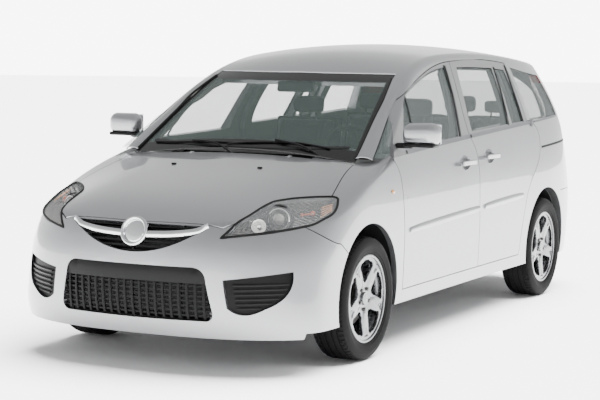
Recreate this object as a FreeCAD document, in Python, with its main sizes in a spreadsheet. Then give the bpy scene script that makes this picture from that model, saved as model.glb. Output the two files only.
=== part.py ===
"""Compact minivan with sliding rear side doors, at its real size.

Frame: the origin is on the ground under the middle of the car, +Z is up, the nose points along -Y
and the car's left side is on +X. Lengths are millimetres.
"""
import math
import os

import FreeCAD
import Part
import Sketcher
from FreeCAD import Placement, Rotation, Vector

doc = FreeCAD.newDocument("minivan")

# Driving dimensions: name, value, what it is
SIZES = [
    ("body_length", 4610, "over both bumpers"),
    ("body_width", 1750, "over the side panels"),
    ("body_height", 1615, "ground to the crown of the roof"),
    ("wheel_base", 2750, "front axle to rear axle"),
    ("front_overhang", 915, "nose to front axle"),
    ("track_width", 1530, "between the middle planes of the tyres"),
    ("tyre_radius", 318.5, "rolling radius"),
    ("tyre_width", 205, "tyre section width"),
    ("rim_radius", 216, "bead seat radius"),
    ("rim_flange", 14, "height of the rim's edge above the bead seat"),
    ("rim_width", 170, "between the bead seats' outer ends"),
    ("rim_wall", 8, "thickness of the rim's barrel"),
    ("rim_drop", 24, "depth of the well between the bead seats"),
    ("wheel_offset", 48, "tyre middle plane to the wheel's mounting face"),
    ("disc_radius_front", 139, "brake disc"),
    ("disc_radius_rear", 132, "brake disc"),
    ("disc_thickness", 22, "brake disc"),
    ("hat_radius", 74, "mounting bell of the brake disc"),
    ("hat_depth", 44, "mounting face to the disc's outer face"),
    ("hat_wall", 8, "wall of the mounting bell"),
    ("stub_radius", 28, "stub axle"),
    ("running_clearance", 0.05, "stub axle to its bore"),
    ("arch_radius", 360, "wheel opening in the side panels"),
    ("arch_lift", 28, "arch centre above the axle"),
    ("arch_forward", 10, "front arch centre ahead of the axle"),
    ("arch_depth", 300, "rear wheel opening inward from the side"),
    ("steer_depth", 378, "front wheel opening inward from the side"),
    ("arch_swell", 14, "front wheel housing behind the lip, wider than the lip"),
    ("liner_wall", 4, "wheel housing liner"),
    ("sill_height", 245, "ground to the underside of the sills"),
    ("chin_height", 190, "ground to the lower lip of the front bumper"),
    ("floor_top", 330, "ground to the cabin floor"),
    ("shut_gap", 5, "gap between panels"),
    ("seal_gap", 0.3, "seated piece to its seat"),
    ("panel_depth", 30, "hood, fenders and bumpers"),
    ("door_thickness", 80, "door below the belt"),
    ("frame_thickness", 42, "door and pillars above the belt"),
    ("inner_frame", 34, "pillar and sill behind the doors"),
    ("roof_thickness", 36, "roof panel with its lining"),
    ("gate_thickness", 44, "tailgate"),
    ("door_land", 42, "overlap of a door over its opening"),
    ("glass_inset", 5, "glass behind the panel's surface"),
    ("glass_thickness", 5, "side and rear glass"),
    ("cowl_setback", 1105, "nose to the rear edge of the hood"),
    ("door_setback", 435, "front axle to the front edge of the front door"),
    ("bumper_rear_height", 668, "ground to the upper edge of the rear bumper"),
    ("hood_lip_height", 742, "ground to the front edge of the hood"),
    ("ditch_half_width", 560, "middle of the car to the roof moulding"),
    ("crown_radius", 62, "rounding of fenders and hood edge"),
    ("rail_radius", 68, "rounding of the roof edge and screen pillars"),
    ("overrun", 60, "how far a cutting tool runs past what it cuts"),
    ("cowl_drop", 42, "hood hinge axis down to the tray below the windshield"),
    ("hinge_lug_reach", 15, "middle of a hood hinge to each of its lugs"),
    ("hinge_ear_length", 25, "hood hinge, the ear from its pin forward"),
    ("crossbar_setback", 183, "nose to the bar that joins the front rails"),
    ("cradle_setback", 180, "front axle to the rear of the cradle below the engine"),
    ("engine_length", 480, "engine and gearbox, front to back"),
    ("engine_width", 620, "engine and gearbox"),
    ("engine_height", 500, "engine and gearbox"),
    ("engine_setback", 560, "nose to the front of the engine"),
    ("knuckle_face", 40, "wheel's mounting face to the knuckle's outer face"),
    ("strut_top_height", 770, "ground to the top of the front strut"),
    ("strut_top_x", 575, "middle of the car to the strut top"),
    ("strut_foot_x", 617, "middle of the car to the foot of the strut"),
    ("kingpin_foot_x", 715, "middle of the car to the lower ball joint"),
    ("kingpin_foot_height", 205, "ground to the lower ball joint"),
    ("kingpin_radius", 12, "strut bearing and ball joint pins"),
    ("bush_wall", 14, "bushes round the pins"),
    ("arm_thickness", 26, "front suspension arm"),
    ("caliper_width", 120, "brake caliper"),
    ("kick_setback", 2350, "front axle to the step up of the floor"),
    ("load_floor_top", 470, "ground to the floor above the rear axle"),
    ("tank_length", 620, "fuel tank, front to back"),
    ("tank_width", 760, "fuel tank"),
    ("tank_height", 110, "fuel tank"),
    ("pipe_radius", 25, "exhaust pipe"),
    ("pipe_x", 430, "middle of the car to the exhaust pipe"),
    ("pipe_height", 238, "ground to the middle of the exhaust pipe"),
    ("silencer_radius", 85, "exhaust silencer"),
    ("silencer_length", 420, "exhaust silencer"),
    ("hinge_pin_radius", 5, "hood hinge pins"),
    ("hinge_x", 300, "middle of the car to a hood hinge"),
    ("hood_axis_setback", 1109, "nose to the hood's hinge axis"),
    ("hood_axis_height", 1010, "ground to the hood's hinge axis"),
    ("cowl_thickness", 8, "cowl panel"),
    ("cowl_half_width", 608, "cowl panel"),
    ("door_axis_x", 868, "middle of the car to the front door's hinge axis"),
    ("hinge_arm_radius", 58, "front door hinge arm, from the hinge axis"),
    ("hinge_arm_width", 9, "front door hinge arm"),
    ("hinge_arm_height", 32, "front door hinge arm"),
    ("lower_hinge_height", 450, "ground to the lower door hinge"),
    ("upper_hinge_height", 790, "ground to the upper door hinge"),
    ("pillar_x", 753, "middle of the car to the inside of the hinge pillar"),
    ("pillar_foot", 17, "part of the hinge pillar that meets the door frame"),
    ("seal_width", 16, "door seal"),
    ("handle_length", 205, "door handle"),
    ("handle_height", 27, "door handle"),
    ("handle_thickness", 15, "door handle"),
    ("handle_stand", 34, "skin to the outside of a door handle"),
    ("handle_rounding", 6, "edges of a door handle"),
    ("cup_depth", 24, "hollow in the skin behind a door handle"),
    ("cup_length", 156, "hollow in the skin behind a door handle"),
    ("cup_height", 88, "hollow in the skin behind a door handle"),
    ("beam_radius", 34, "rear axle beam"),
    ("beam_forward", 270, "rear axle beam ahead of the rear axle"),
    ("arm_width", 60, "trailing arm"),
    ("mirror_length", 200, "door mirror, across the car"),
    ("mirror_height", 142, "door mirror"),
    ("mirror_depth", 118, "door mirror, front to back"),
    ("mirror_wall", 8, "rim round the glass of the door mirror"),
    ("mirror_rounding", 48, "front corners of the door mirror"),
    ("mirror_x", 932, "middle of the car to the middle of the mirror"),
    ("mirror_z", 1140, "ground to the middle of the mirror"),
    ("mirror_back", 555, "front axle to the middle of the mirror"),
    ("dash_depth", 420, "dashboard, front to back"),
    ("dash_height", 400, "dashboard"),
    ("dash_top", 1010, "ground to the top of the dashboard"),
    ("dash_back", 780, "front axle to the rear face of the dashboard"),
    ("front_seat_y", 1060, "front axle to the front edge of the front cushions"),
    ("second_row_y", 1930, "front axle to the front edge of the second row"),
    ("third_row_y", 2660, "front axle to the front edge of the third row"),
    ("steering_y", 905, "front axle to the middle of the steering wheel"),
    ("steering_z", 985, "ground to the middle of the steering wheel"),
    ("steering_rake", 28, "steering wheel, degrees from upright"),
    ("column_radius", 24, "steering column"),
    ("lens_thickness", 4, "headlamp lens"),
    ("lamp_depth", 110, "headlamp housing"),
    ("grille_inset", 14, "grille behind the bumper's surface"),
    ("grille_depth", 12, "grille bars, front to back"),
    ("bar_pitch", 24, "grille bars, one to the next"),
    ("bar_height", 9, "grille bar"),
    ("hub_radius", 62, "wheel hub"),
    ("strut_radius", 27, "suspension strut"),
    ("spring_radius", 62, "coil spring"),
    ("rail_width", 80, "front rails"),
    ("rail_height", 110, "front rails"),
    ("rail_x", 435, "middle of the car to the middle of a front rail"),
    ("floor_thickness", 22, "floor with its ribs"),
    ("seat_width", 500, "front seat"),
    ("seat_x", 365, "middle of the car to the middle of a seat"),
    ("seat_length", 520, "seat cushion"),
    ("seat_height", 260, "cabin floor to the cushion's front edge"),
    ("back_height", 640, "seat back"),
    ("back_thickness", 110, "seat back"),
    ("headrest_width", 250, "headrest"),
    ("wheel_rim_radius", 188, "steering wheel, middle of its rim"),
    ("wheel_grip_radius", 15, "steering wheel, section of its rim"),
]

sheet = doc.addObject("Spreadsheet::Sheet", "Sizes")
for row, (alias, value, note) in enumerate(SIZES, 1):
    sheet.set(f"A{row}", note)
    sheet.set(f"B{row}", str(value))
    sheet.setAlias(f"B{row}", alias)
doc.recompute()


class Sizes:
    """The cells of the sheet by name, as numbers."""

    def __getattr__(self, alias):
        return float(sheet.get(alias))


S = Sizes()
HALF_LENGTH = S.body_length / 2
HALF_WIDTH = S.body_width / 2
NOSE = -HALF_LENGTH
TAIL = HALF_LENGTH
FRONT_AXLE = NOSE + S.front_overhang
REAR_AXLE = FRONT_AXLE + S.wheel_base
REAR_OVERHANG = TAIL - REAR_AXLE
WHEEL_X = S.track_width / 2
AXLE_Z = S.tyre_radius
ACROSS = S.body_width
QUARTER_TURN = 90
ORIGIN = Vector(0, 0, 0)
X_AXIS = Vector(1, 0, 0)
Y_AXIS = Vector(0, 1, 0)
Z_AXIS = Vector(0, 0, 1)

PARTS = {}


def keep(name, shape):
    """One sub-part of the car as an object of the document."""
    solids = shape.Solids
    if not solids:
        raise ValueError(f"{name} has no solid")
    item = doc.addObject("Part::Feature", name)
    item.Label = name
    item.Shape = solids[0] if len(solids) == 1 else Part.makeCompound(solids)
    PARTS[name] = item
    return item


def mirrored(shape):
    return shape.mirror(ORIGIN, X_AXIS)


def fused(first, *others):
    result = first.fuse(list(others))
    return result.removeSplitter()


def biggest(shape):
    """The largest solid of a cut, without crumbs."""
    return max(shape.Solids, key=lambda s: s.Volume)


def block(x0, x1, y0, y1, z0, z1):
    return Part.makeBox(x1 - x0, y1 - y0, z1 - z0, Vector(x0, y0, z0))


def spline_surface(net, closed=False):
    """Cubic surface that follows a net of control points; closed joins its last row to its first."""
    degree = 3
    rows, columns = len(net), len(net[0])
    if closed:
        u_knots = [float(i) for i in range(rows + 1)]
        u_mults = [1] * (rows + 1)
    else:
        u_knots = [float(i) for i in range(rows - degree + 1)]
        u_mults = [degree + 1] + [1] * (rows - degree - 1) + [degree + 1]
    v_knots = [float(i) for i in range(columns - degree + 1)]
    v_mults = [degree + 1] + [1] * (columns - degree - 1) + [degree + 1]
    surface = Part.BSplineSurface()
    surface.buildFromPolesMultsKnots(
        net, u_mults, v_mults, u_knots, v_knots, closed, False, degree, degree
    )
    return surface


# The skirt is the closed surface round the car: bumpers, sides, side glass and tailgate.
# Rows from the ground up: height at the front and at the rear as shares of the body height,
# half width as a share, setback of the nose and of the tail as shares of the overhangs,
# and how deep the front and the rear corners are rounded.
SKIRT_ROW_SHARES = [
    (0.074, 0.074, 0.975, 0.129, 0.111, 0.62, 1.00),
    (0.133, 0.133, 0.985, 0.047, 0.053, 0.62, 1.00),
    (0.204, 0.204, 0.992, 0.005, 0.016, 0.72, 1.00),
    (0.291, 0.291, 0.997, -0.002, 0.000, 0.84, 1.00),
    (0.378, 0.384, 1.003, -0.001, 0.000, 0.93, 1.00),
    (0.458, 0.471, 0.995, 0.047, 0.021, 1.05, 1.00),
    (0.526, 0.545, 0.983, 0.115, 0.063, 1.12, 0.95),
    (0.588, 0.625, 0.960, 0.169, 0.088, 1.12, 0.90),
    (0.625, 0.687, 0.930, 0.202, 0.122, 1.00, 0.80),
    (0.681, 0.743, 0.887, 0.224, 0.164, 1.00, 0.70),
    (0.793, 0.830, 0.816, 0.235, 0.243, 1.00, 0.60),
    (0.916, 0.929, 0.713, 0.235, 0.338, 1.00, 0.50),
    (1.065, 1.065, 0.573, 0.235, 0.481, 1.00, 0.45),
]
BELT_ROW = 8
# Plan shape from the middle of the nose: share of the half width, depth as a share of the overhang
FRONT_PLAN_SHARES = [
    (0.0, 0.0),
    (0.22, 0.005),
    (0.42, 0.038),
    (0.60, 0.098),
    (0.77, 0.213),
    (0.90, 0.355),
    (0.975, 0.497),
    (1.0, 0.645),
]
# Along the side: share of the half width, place as a share of the wheelbase
SIDE_PLAN_SHARES = [
    (1.0, 0.0),
    (0.992, 0.142),
    (0.986, 0.324),
    (0.986, 0.505),
    (0.986, 0.687),
    (0.992, 0.869),
    (1.0, 1.0),
]
# Round the tail: share of the half width, depth as a share of the overhang
REAR_PLAN_SHARES = [
    (0.995, 0.677),
    (0.97, 0.455),
    (0.91, 0.275),
    (0.79, 0.138),
    (0.58, 0.053),
    (0.30, 0.011),
    (0.0, 0.0),
]
# Middle line of the hood: share of the cowl setback from the nose, share of the body height
HOOD_LINE_SHARES = [
    (-0.18, 0.347),
    (-0.023, 0.427),
    (0.095, 0.477),
    (0.204, 0.511),
    (0.367, 0.544),
    (0.593, 0.579),
    (0.819, 0.610),
    (1.045, 0.641),
    (1.271, 0.675),
]
# Middle line of screen and roof: share of the half length, share of the body height
ROOF_LINE_SHARES = [
    (-1.085, 0.155),
    (-0.824, 0.378),
    (-0.651, 0.5325),
    (-0.477, 0.684),
    (-0.325, 0.817),
    (-0.208, 0.9135),
    (-0.108, 0.966),
    (0.022, 0.994),
    (0.195, 1.004),
    (0.369, 1.004),
    (0.542, 0.9945),
    (0.716, 0.9735),
    (0.846, 0.950),
    (0.954, 0.929),
    (1.085, 0.898),
]
CROSS_SHARES = [-1.26, -0.97, -0.69, -0.34, 0.0, 0.34, 0.69, 0.97, 1.26]
# How much of a shoulder's drop each of those lines gets, and the drop at each line of the hood
SHOULDER_CROSS_SHARES = [2.4, 1.0, 0.10, 0.0, 0.0, 0.0, 0.10, 1.0, 2.4]
SHOULDER_DROP_SHARES = [0.075, 0.075, 0.075, 0.075, 0.068, 0.040, 0.012, 0.0, 0.0]
NO_DROP_SHARES = [0.0] * len(ROOF_LINE_SHARES)
HOOD_CROWN_SHARE = 0.014
ROOF_CROWN_SHARE = 0.034
SCREEN_CROWN_SHARE = 0.018


def skirt(low=0.0, high=0.0, front=0.0, rear=0.0):
    """The solid inside the skirt, moved inward by low below the belt and by high above it."""
    rows = []
    for number, shares in enumerate(SKIRT_ROW_SHARES):
        z_front, z_rear, width, nose, tail, front_corner, rear_corner = shares
        inward = high if number > BELT_ROW else low
        half = HALF_WIDTH * width - inward
        nose_y = NOSE + S.front_overhang * nose + front
        tail_y = TAIL - REAR_OVERHANG * tail - rear
        plan = [(half * x, nose_y + S.front_overhang * d * front_corner)
                for x, d in FRONT_PLAN_SHARES]
        plan += [(half * x, FRONT_AXLE + S.wheel_base * a) for x, a in SIDE_PLAN_SHARES]
        plan += [(half * x, tail_y - REAR_OVERHANG * d * rear_corner) for x, d in REAR_PLAN_SHARES]
        row = []
        for x, y in plan:
            along = min(1.0, max(0.0, (y - FRONT_AXLE) / S.wheel_base))
            share = z_front + (z_rear - z_front) * along
            row.append(Vector(x, y, S.body_height * share))
        rows.append(row)
    stations = len(rows[0])
    net = [[row[i] for row in rows] for i in range(stations)]
    net += [
        [Vector(-row[i].x, row[i].y, row[i].z) for row in rows]
        for i in range(stations - 2, 0, -1)
    ]
    side = spline_surface(net, closed=True).toShape()
    ends = [e for e in side.Edges if e.BoundBox.ZLength < S.seal_gap]
    caps = [Part.Face(Part.Wire([e])) for e in ends]
    shell = Part.Shell([side] + caps)
    shell.sewShape()
    return Part.Solid(shell)


def under(line, crown, shoulder_drops, inward):
    """Everything under a crowned surface that follows a middle line of (y, z) points."""
    net = []
    for across, shoulder in zip(CROSS_SHARES, SHOULDER_CROSS_SHARES):
        x = HALF_WIDTH * across
        row = []
        for number, (y, z) in enumerate(line):
            drop = S.body_height * crown(number) * (across / CROSS_SHARES[-3]) ** 2
            drop += S.body_height * shoulder_drops[number] * shoulder
            row.append(Vector(x, y, z - drop - inward))
        net.append(row)
    top = spline_surface(net).toShape()
    return top.extrude(Vector(0, 0, -2 * S.body_height))


def hood_under(inward=0.0):
    line = [(NOSE + S.cowl_setback * a, S.body_height * h) for a, h in HOOD_LINE_SHARES]
    return under(line, lambda number: HOOD_CROWN_SHARE, SHOULDER_DROP_SHARES, inward)


# The crown changes from the windshield's to the roof's between these rows of the net
CROWN_BLEND_ROWS = (2, 6)


def roof_under(inward=0.0):
    line = [(HALF_LENGTH * a, S.body_height * h) for a, h in ROOF_LINE_SHARES]

    def crown(number):
        first, last = CROWN_BLEND_ROWS
        grown = min(1.0, max(0.0, (number - first) / (last - first)))
        return SCREEN_CROWN_SHARE + (ROOF_CROWN_SHARE - SCREEN_CROWN_SHARE) * grown

    return under(line, crown, NO_DROP_SHARES, inward)


def front_form(inward=0.0):
    """Nose, hood and fenders as one solid, rounded along its upper edge where it is the outside."""
    body = skirt(low=inward, high=inward, front=inward).common(hood_under(inward))
    window = block(-ACROSS, ACROSS, 2 * NOSE, FRONT_AXLE + S.door_setback + S.overrun - inward,
                   S.chin_height + inward, S.body_height)
    body = biggest(body.common(window))
    if inward:
        return body
    rim = [e for e in body.Edges if e.BoundBox.YLength > S.front_overhang
           and e.BoundBox.ZMin > S.hood_lip_height - 2 * S.crown_radius]
    return biggest(body.makeFillet(S.crown_radius, rim))


def cabin_form(low=0.0, high=0.0, rear=0.0, top=0.0):
    """Everything behind the cowl as one solid, rounded along the roof where it is the outside."""
    body = skirt(low=low, high=high, rear=rear).common(roof_under(top))
    window = block(-ACROSS, ACROSS, FRONT_AXLE - S.door_setback / 2 + low, 2 * TAIL,
                   S.sill_height + low / 2, 2 * S.body_height)
    body = biggest(body.common(window))
    if low:
        return body
    rim = [e for e in body.Edges if e.BoundBox.YLength > S.wheel_base
           and e.BoundBox.ZMax > S.body_height - 2 * S.rail_radius]
    return biggest(body.makeFillet(S.rail_radius, rim))


def between(outer, inner):
    """The wall between two solids, one of which lies all inside the other."""
    return Part.makeSolid(Part.makeCompound([outer.Shells[0], inner.Shells[0].reversed()]))


# Side-view outlines: points are shares of the wheelbase behind the front axle and of the body height.
def side_point(along, up):
    return Vector(0, FRONT_AXLE + S.wheel_base * along, S.body_height * up)


def grown(runs, distance):
    """The runs of a closed outline moved outward, or inward for a negative distance."""
    corners = [point for run in runs for point in run[:-1]]
    facing = Vector()
    for here, there in zip(corners, corners[1:] + corners[:1]):
        facing += here.cross(there)
    facing.normalize()
    moved = []
    for number, run in enumerate(runs):
        before = runs[number - 1]
        after = runs[(number + 1) % len(runs)]
        path = [before[-2]] + list(run) + [after[1]]
        new_run = []
        for last, point, following in zip(path, path[1:], path[2:]):
            arriving = (point - last).normalize().cross(facing)
            leaving = (following - point).normalize().cross(facing)
            middle = (arriving + leaving).normalize()
            new_run.append(point + middle * (distance / middle.dot(leaving)))
        moved.append(new_run)
    return moved


def outline(runs):
    """Closed wire from runs of points; a run of more than two points is a smooth curve."""
    edges = []
    for run in runs:
        if len(run) == 2:
            edges.append(Part.LineSegment(run[0], run[1]).toShape())
        else:
            curve = Part.BSplineCurve()
            curve.interpolate(run)
            edges.append(curve.toShape())
    return Part.Wire(edges)


def side_outline(run_shares):
    return [[side_point(a, h) for a, h in run] for run in run_shares]


def side_prism(runs, x0, x1):
    face = Part.Face(outline(runs))
    face.translate(Vector(x0, 0, 0))
    return face.extrude(Vector(x1 - x0, 0, 0))


def through_side(runs):
    """The outline carried from inside the pillars out past the car's left side."""
    return side_prism(runs, S.rail_x, HALF_WIDTH + S.overrun)



door_depths = (S.door_thickness, S.frame_thickness, S.gate_thickness, S.roof_thickness)
recess_depths = [depth + S.shut_gap for depth in door_depths]
inner_depths = [depth + S.inner_frame for depth in recess_depths]
pane_depths = [S.glass_inset] * len(door_depths)
pane_back_depths = [S.glass_inset + S.glass_thickness] * len(door_depths)

front_out = front_form()
front_wall = between(front_out, front_form(S.panel_depth))
cabin_out = cabin_form()
door_wall = between(cabin_out, cabin_form(*door_depths))
side_wall = between(cabin_out, cabin_form(*recess_depths))
cabin_hollow = cabin_form(*inner_depths)
inner_wall = between(cabin_form(*recess_depths), cabin_hollow)
glass_wall = between(cabin_form(*pane_depths), cabin_form(*pane_back_depths))

# Door outlines, as shares of the wheelbase behind the front axle and of the body height
FRONT_DOOR_SHARES = [
    [(0.158, 0.197), (0.158, 0.557)],
    [(0.158, 0.557), (0.1535, 0.590), (0.1445, 0.622)],
    [(0.1445, 0.622), (0.165, 0.674), (0.247, 0.7985)],
    [(0.247, 0.7985), (0.3465, 0.855), (0.4615, 0.906), (0.5327, 0.9275), (0.6065, 0.9385)],
    [(0.6065, 0.9385), (0.5916, 0.876), (0.569, 0.771), (0.560, 0.672)],
    [(0.560, 0.672), (0.574, 0.62), (0.572, 0.50), (0.5665, 0.37)],
    [(0.5665, 0.37), (0.5665, 0.197)],
    [(0.5665, 0.197), (0.158, 0.197)],
]
SLIDING_DOOR_SHARES = [
    [(0.5685, 0.197), (0.5685, 0.37)],
    [(0.5685, 0.37), (0.574, 0.50), (0.576, 0.62), (0.562, 0.672)],
    [(0.562, 0.672), (0.571, 0.771), (0.5936, 0.876), (0.6085, 0.939)],
    [(0.6085, 0.939), (0.72, 0.945), (0.83, 0.943), (0.9355, 0.930)],
    [(0.9355, 0.930), (0.931, 0.82), (0.924, 0.705)],
    [(0.924, 0.705), (0.966, 0.684), (0.9755, 0.66), (0.975, 0.622), (0.957, 0.560)],
    [(0.957, 0.560), (0.930, 0.520), (0.900, 0.484), (0.868, 0.430), (0.848, 0.365), (0.8205, 0.197)],
    [(0.8205, 0.197), (0.5685, 0.197)],
]
FRONT_WINDOW_SHARES = [
    [(0.208, 0.661), (0.236, 0.718), (0.272, 0.793)],
    [(0.272, 0.793), (0.3065, 0.8305), (0.394, 0.876), (0.482, 0.905), (0.570, 0.9195)],
    [(0.570, 0.9195), (0.541, 0.815), (0.5, 0.674)],
    [(0.5, 0.674), (0.36, 0.6655), (0.208, 0.661)],
]
SLIDING_WINDOW_SHARES = [
    [(0.582, 0.688), (0.602, 0.80), (0.636, 0.9185)],
    [(0.636, 0.9185), (0.74, 0.9185), (0.842, 0.9135)],
    [(0.842, 0.9135), (0.826, 0.82), (0.813, 0.701)],
    [(0.813, 0.701), (0.70, 0.694), (0.582, 0.688)],
]
SLIDING_PANE_SHARES = [
    [(0.8295, 0.702), (0.842, 0.82), (0.857, 0.9125)],
    [(0.857, 0.9125), (0.913, 0.905)],
    [(0.913, 0.905), (0.905, 0.80), (0.8985, 0.7065)],
    [(0.8985, 0.7065), (0.8295, 0.702)],
]
REAR_QUARTER_SHARES = [
    [(0.9455, 0.708), (0.951, 0.81), (0.958, 0.915)],
    [(0.958, 0.915), (1.048, 0.8945), (1.129, 0.8805)],
    [(1.129, 0.8805), (1.146, 0.807), (1.155, 0.7175)],
    [(1.155, 0.7175), (1.05, 0.712), (0.9455, 0.708)],
]
FRONT_QUARTER_SHARES = [
    [(0.040, 0.622), (0.09, 0.631), (0.1365, 0.638)],
    [(0.1365, 0.638), (0.165, 0.686), (0.2335, 0.789)],
    [(0.2335, 0.789), (0.14, 0.715), (0.040, 0.622)],
]
# Rear view of the tailgate and its window: shares of the half width and of the body height
GATE_SHARES = [
    [(0.0, 0.418), (0.62, 0.418)],
    [(0.62, 0.418), (0.80, 0.43), (0.84, 0.50), (0.838, 0.58)],
    [(0.838, 0.58), (0.80, 0.74), (0.70, 0.86), (0.60, 0.948)],
    [(0.60, 0.948), (0.60, 1.1)],
    [(0.60, 1.1), (0.0, 1.1)],
    [(0.0, 1.1), (0.0, 0.418)],
]
GATE_WINDOW_SHARES = [
    [(0.0, 0.655), (0.35, 0.655), (0.68, 0.675)],
    [(0.68, 0.675), (0.66, 0.75), (0.55, 0.875)],
    [(0.55, 0.875), (0.3, 0.890), (0.0, 0.894)],
    [(0.0, 0.894), (0.0, 0.655)],
]
# Top view of screen and roof opening: share of the half width, share of the half length from the middle
SCREEN_SHARES = [
    [(0.0, -0.512), (0.40, -0.514), (0.775, -0.519)],
    [(0.775, -0.519), (0.70, -0.33), (0.64, -0.176)],
    [(0.64, -0.176), (0.33, -0.207), (0.0, -0.2155)],
    [(0.0, -0.2155), (0.0, -0.512)],
]
ROOF_SHARES = [
    [(0.0, -0.2135), (0.33, -0.205), (0.64, -0.174)],
    [(0.64, -0.174), (0.64, 0.846)],
    [(0.64, 0.846), (0.33, 0.846), (0.0, 0.846)],
    [(0.0, 0.846), (0.0, -0.2135)],
]


def rear_outline(run_shares):
    return [[Vector(HALF_WIDTH * a, 0, S.body_height * h) for a, h in run] for run in run_shares]


def top_outline(run_shares):
    return [[Vector(HALF_WIDTH * a, HALF_LENGTH * b, 0) for a, b in run] for run in run_shares]


def prism(runs, start, travel):
    face = Part.Face(outline(runs))
    face.translate(start)
    return face.extrude(travel)


def both_sides(half):
    """A half on the car's left joined to its mirror image."""
    return half.fuse(mirrored(half)).removeSplitter()


UPWARD = Vector(0, 0, S.body_height)
front_door_runs = side_outline(FRONT_DOOR_SHARES)
sliding_door_runs = side_outline(SLIDING_DOOR_SHARES)
front_window = side_outline(FRONT_WINDOW_SHARES)
sliding_window = side_outline(SLIDING_WINDOW_SHARES)
sliding_pane = side_outline(SLIDING_PANE_SHARES)
rear_quarter = side_outline(REAR_QUARTER_SHARES)
front_quarter = side_outline(FRONT_QUARTER_SHARES)
screen_prism = both_sides(prism(top_outline(SCREEN_SHARES), UPWARD / 2, UPWARD))
screen_room = both_sides(prism(grown(top_outline(SCREEN_SHARES), S.shut_gap), UPWARD / 2, UPWARD))
roof_prism = both_sides(prism(top_outline(ROOF_SHARES), UPWARD / 2, UPWARD))
gate_start = Vector(0, REAR_AXLE + S.arch_radius, 0)
gate_travel = Vector(0, 2 * REAR_OVERHANG, 0)
gate_prism = both_sides(prism(rear_outline(GATE_SHARES), gate_start, gate_travel))
gate_cut = both_sides(prism(grown(rear_outline(GATE_SHARES), S.shut_gap), gate_start, gate_travel))
gate_window = both_sides(prism(rear_outline(GATE_WINDOW_SHARES), gate_start, gate_travel))


def arch(axle_y, radius, depth):
    """Cylinder across the left side at a wheel opening."""
    start = Vector(HALF_WIDTH - depth, axle_y, AXLE_Z + S.arch_lift)
    return Part.makeCylinder(radius, depth + S.overrun, start, X_AXIS)


def front_arch(radius):
    return arch(FRONT_AXLE - S.arch_forward, radius, S.steer_depth)


def rear_arch(radius):
    return arch(REAR_AXLE, radius, S.arch_depth)


# The rear bumper starts inside the rear arch, at this share of its radius behind the axle
REAR_BUMPER_START_SHARE = 0.8
front_door_land = through_side(grown(front_door_runs, -S.door_land))
sliding_door_land = through_side(grown(sliding_door_runs, -S.door_land))
rear_bumper_line = block(-ACROSS, ACROSS, REAR_AXLE + S.arch_radius * REAR_BUMPER_START_SHARE,
                         2 * TAIL, 0, S.bumper_rear_height + S.shut_gap)


# Tail lamp in side view: everything behind this line
TAIL_LAMP_SHARES = [
    [(1.128, 0.885), (1.152, 0.80), (1.176, 0.71), (1.186, 0.615)],
    [(1.186, 0.615), (1.5, 0.600)],
    [(1.5, 0.600), (1.5, 0.885)],
    [(1.5, 0.885), (1.128, 0.885)],
]
tail_lamp_prism = through_side(side_outline(TAIL_LAMP_SHARES))


hood_zone = hood_under(-S.shut_gap)
hood_zone = hood_zone.common(block(-ACROSS, ACROSS, 2 * NOSE,
                                   FRONT_AXLE + S.door_setback - S.shut_gap, 0, S.body_height))
belly = block(0, HALF_WIDTH - inner_depths[0] - S.panel_depth, 2 * NOSE, 2 * TAIL, 0, S.floor_top)


def side_panel():
    """The body side round the door openings, out to the roof moulding and back to the tail."""
    zone = block(0, ACROSS, 2 * NOSE, 2 * TAIL, 0, 2 * S.body_height)
    side = side_wall.common(zone)
    gate_room = gate_cut.cut(block(-ACROSS, ACROSS, 0, HALF_LENGTH * ROOF_SHARES[1][1][1],
                                   S.body_height / 2, 2 * S.body_height))
    side = side.cut([screen_prism, roof_prism, gate_room, hood_zone, rear_bumper_line, belly,
                     rear_arch(S.arch_radius),
                     through_side(grown(front_door_runs, S.shut_gap)),
                     through_side(grown(sliding_door_runs, S.shut_gap)),
                     through_side(rear_quarter), through_side(front_quarter)])
    return biggest(side.cut(tail_lamp_prism)), biggest(side.common(tail_lamp_prism))


def inner_side():
    """The pillars, sill and rail behind the doors, which overlap the edges of their openings."""
    zone = block(0, ACROSS, FRONT_AXLE + S.door_setback - S.overrun, REAR_AXLE + S.overrun,
                 0, 2 * S.body_height)
    side = inner_wall.common(zone)
    return biggest(side.cut([screen_prism, roof_prism, belly, hood_zone, rear_arch(S.arch_radius),
                             front_door_land, sliding_door_land,
                             through_side(rear_quarter), through_side(front_quarter)]))


DOOR_AXIS = Vector(S.door_axis_x, FRONT_AXLE + S.wheel_base * FRONT_DOOR_SHARES[0][0][0], 0)
ARM_START_ANGLE = -16
ARM_SWEEP_ANGLE = 88
HINGE_LEVELS = (S.lower_hinge_height, S.upper_hinge_height)


def hinge_arm(level, clearance, sweep):
    """A curved arm round the left front door's hinge axis, from the pillar into the door."""
    near = S.hinge_arm_radius - S.hinge_arm_width / 2 - clearance
    far = S.hinge_arm_radius + S.hinge_arm_width / 2 + clearance
    half = S.hinge_arm_height / 2 + clearance
    corners = [DOOR_AXIS + Vector(-r, 0, level + h)
               for r, h in ((near, -half), (far, -half), (far, half), (near, half))]
    section = Part.Face(Part.makePolygon(corners + corners[:1]))
    section.rotate(DOOR_AXIS, Z_AXIS, -ARM_START_ANGLE)
    return section.revolve(DOOR_AXIS, Z_AXIS, -sweep)


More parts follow.
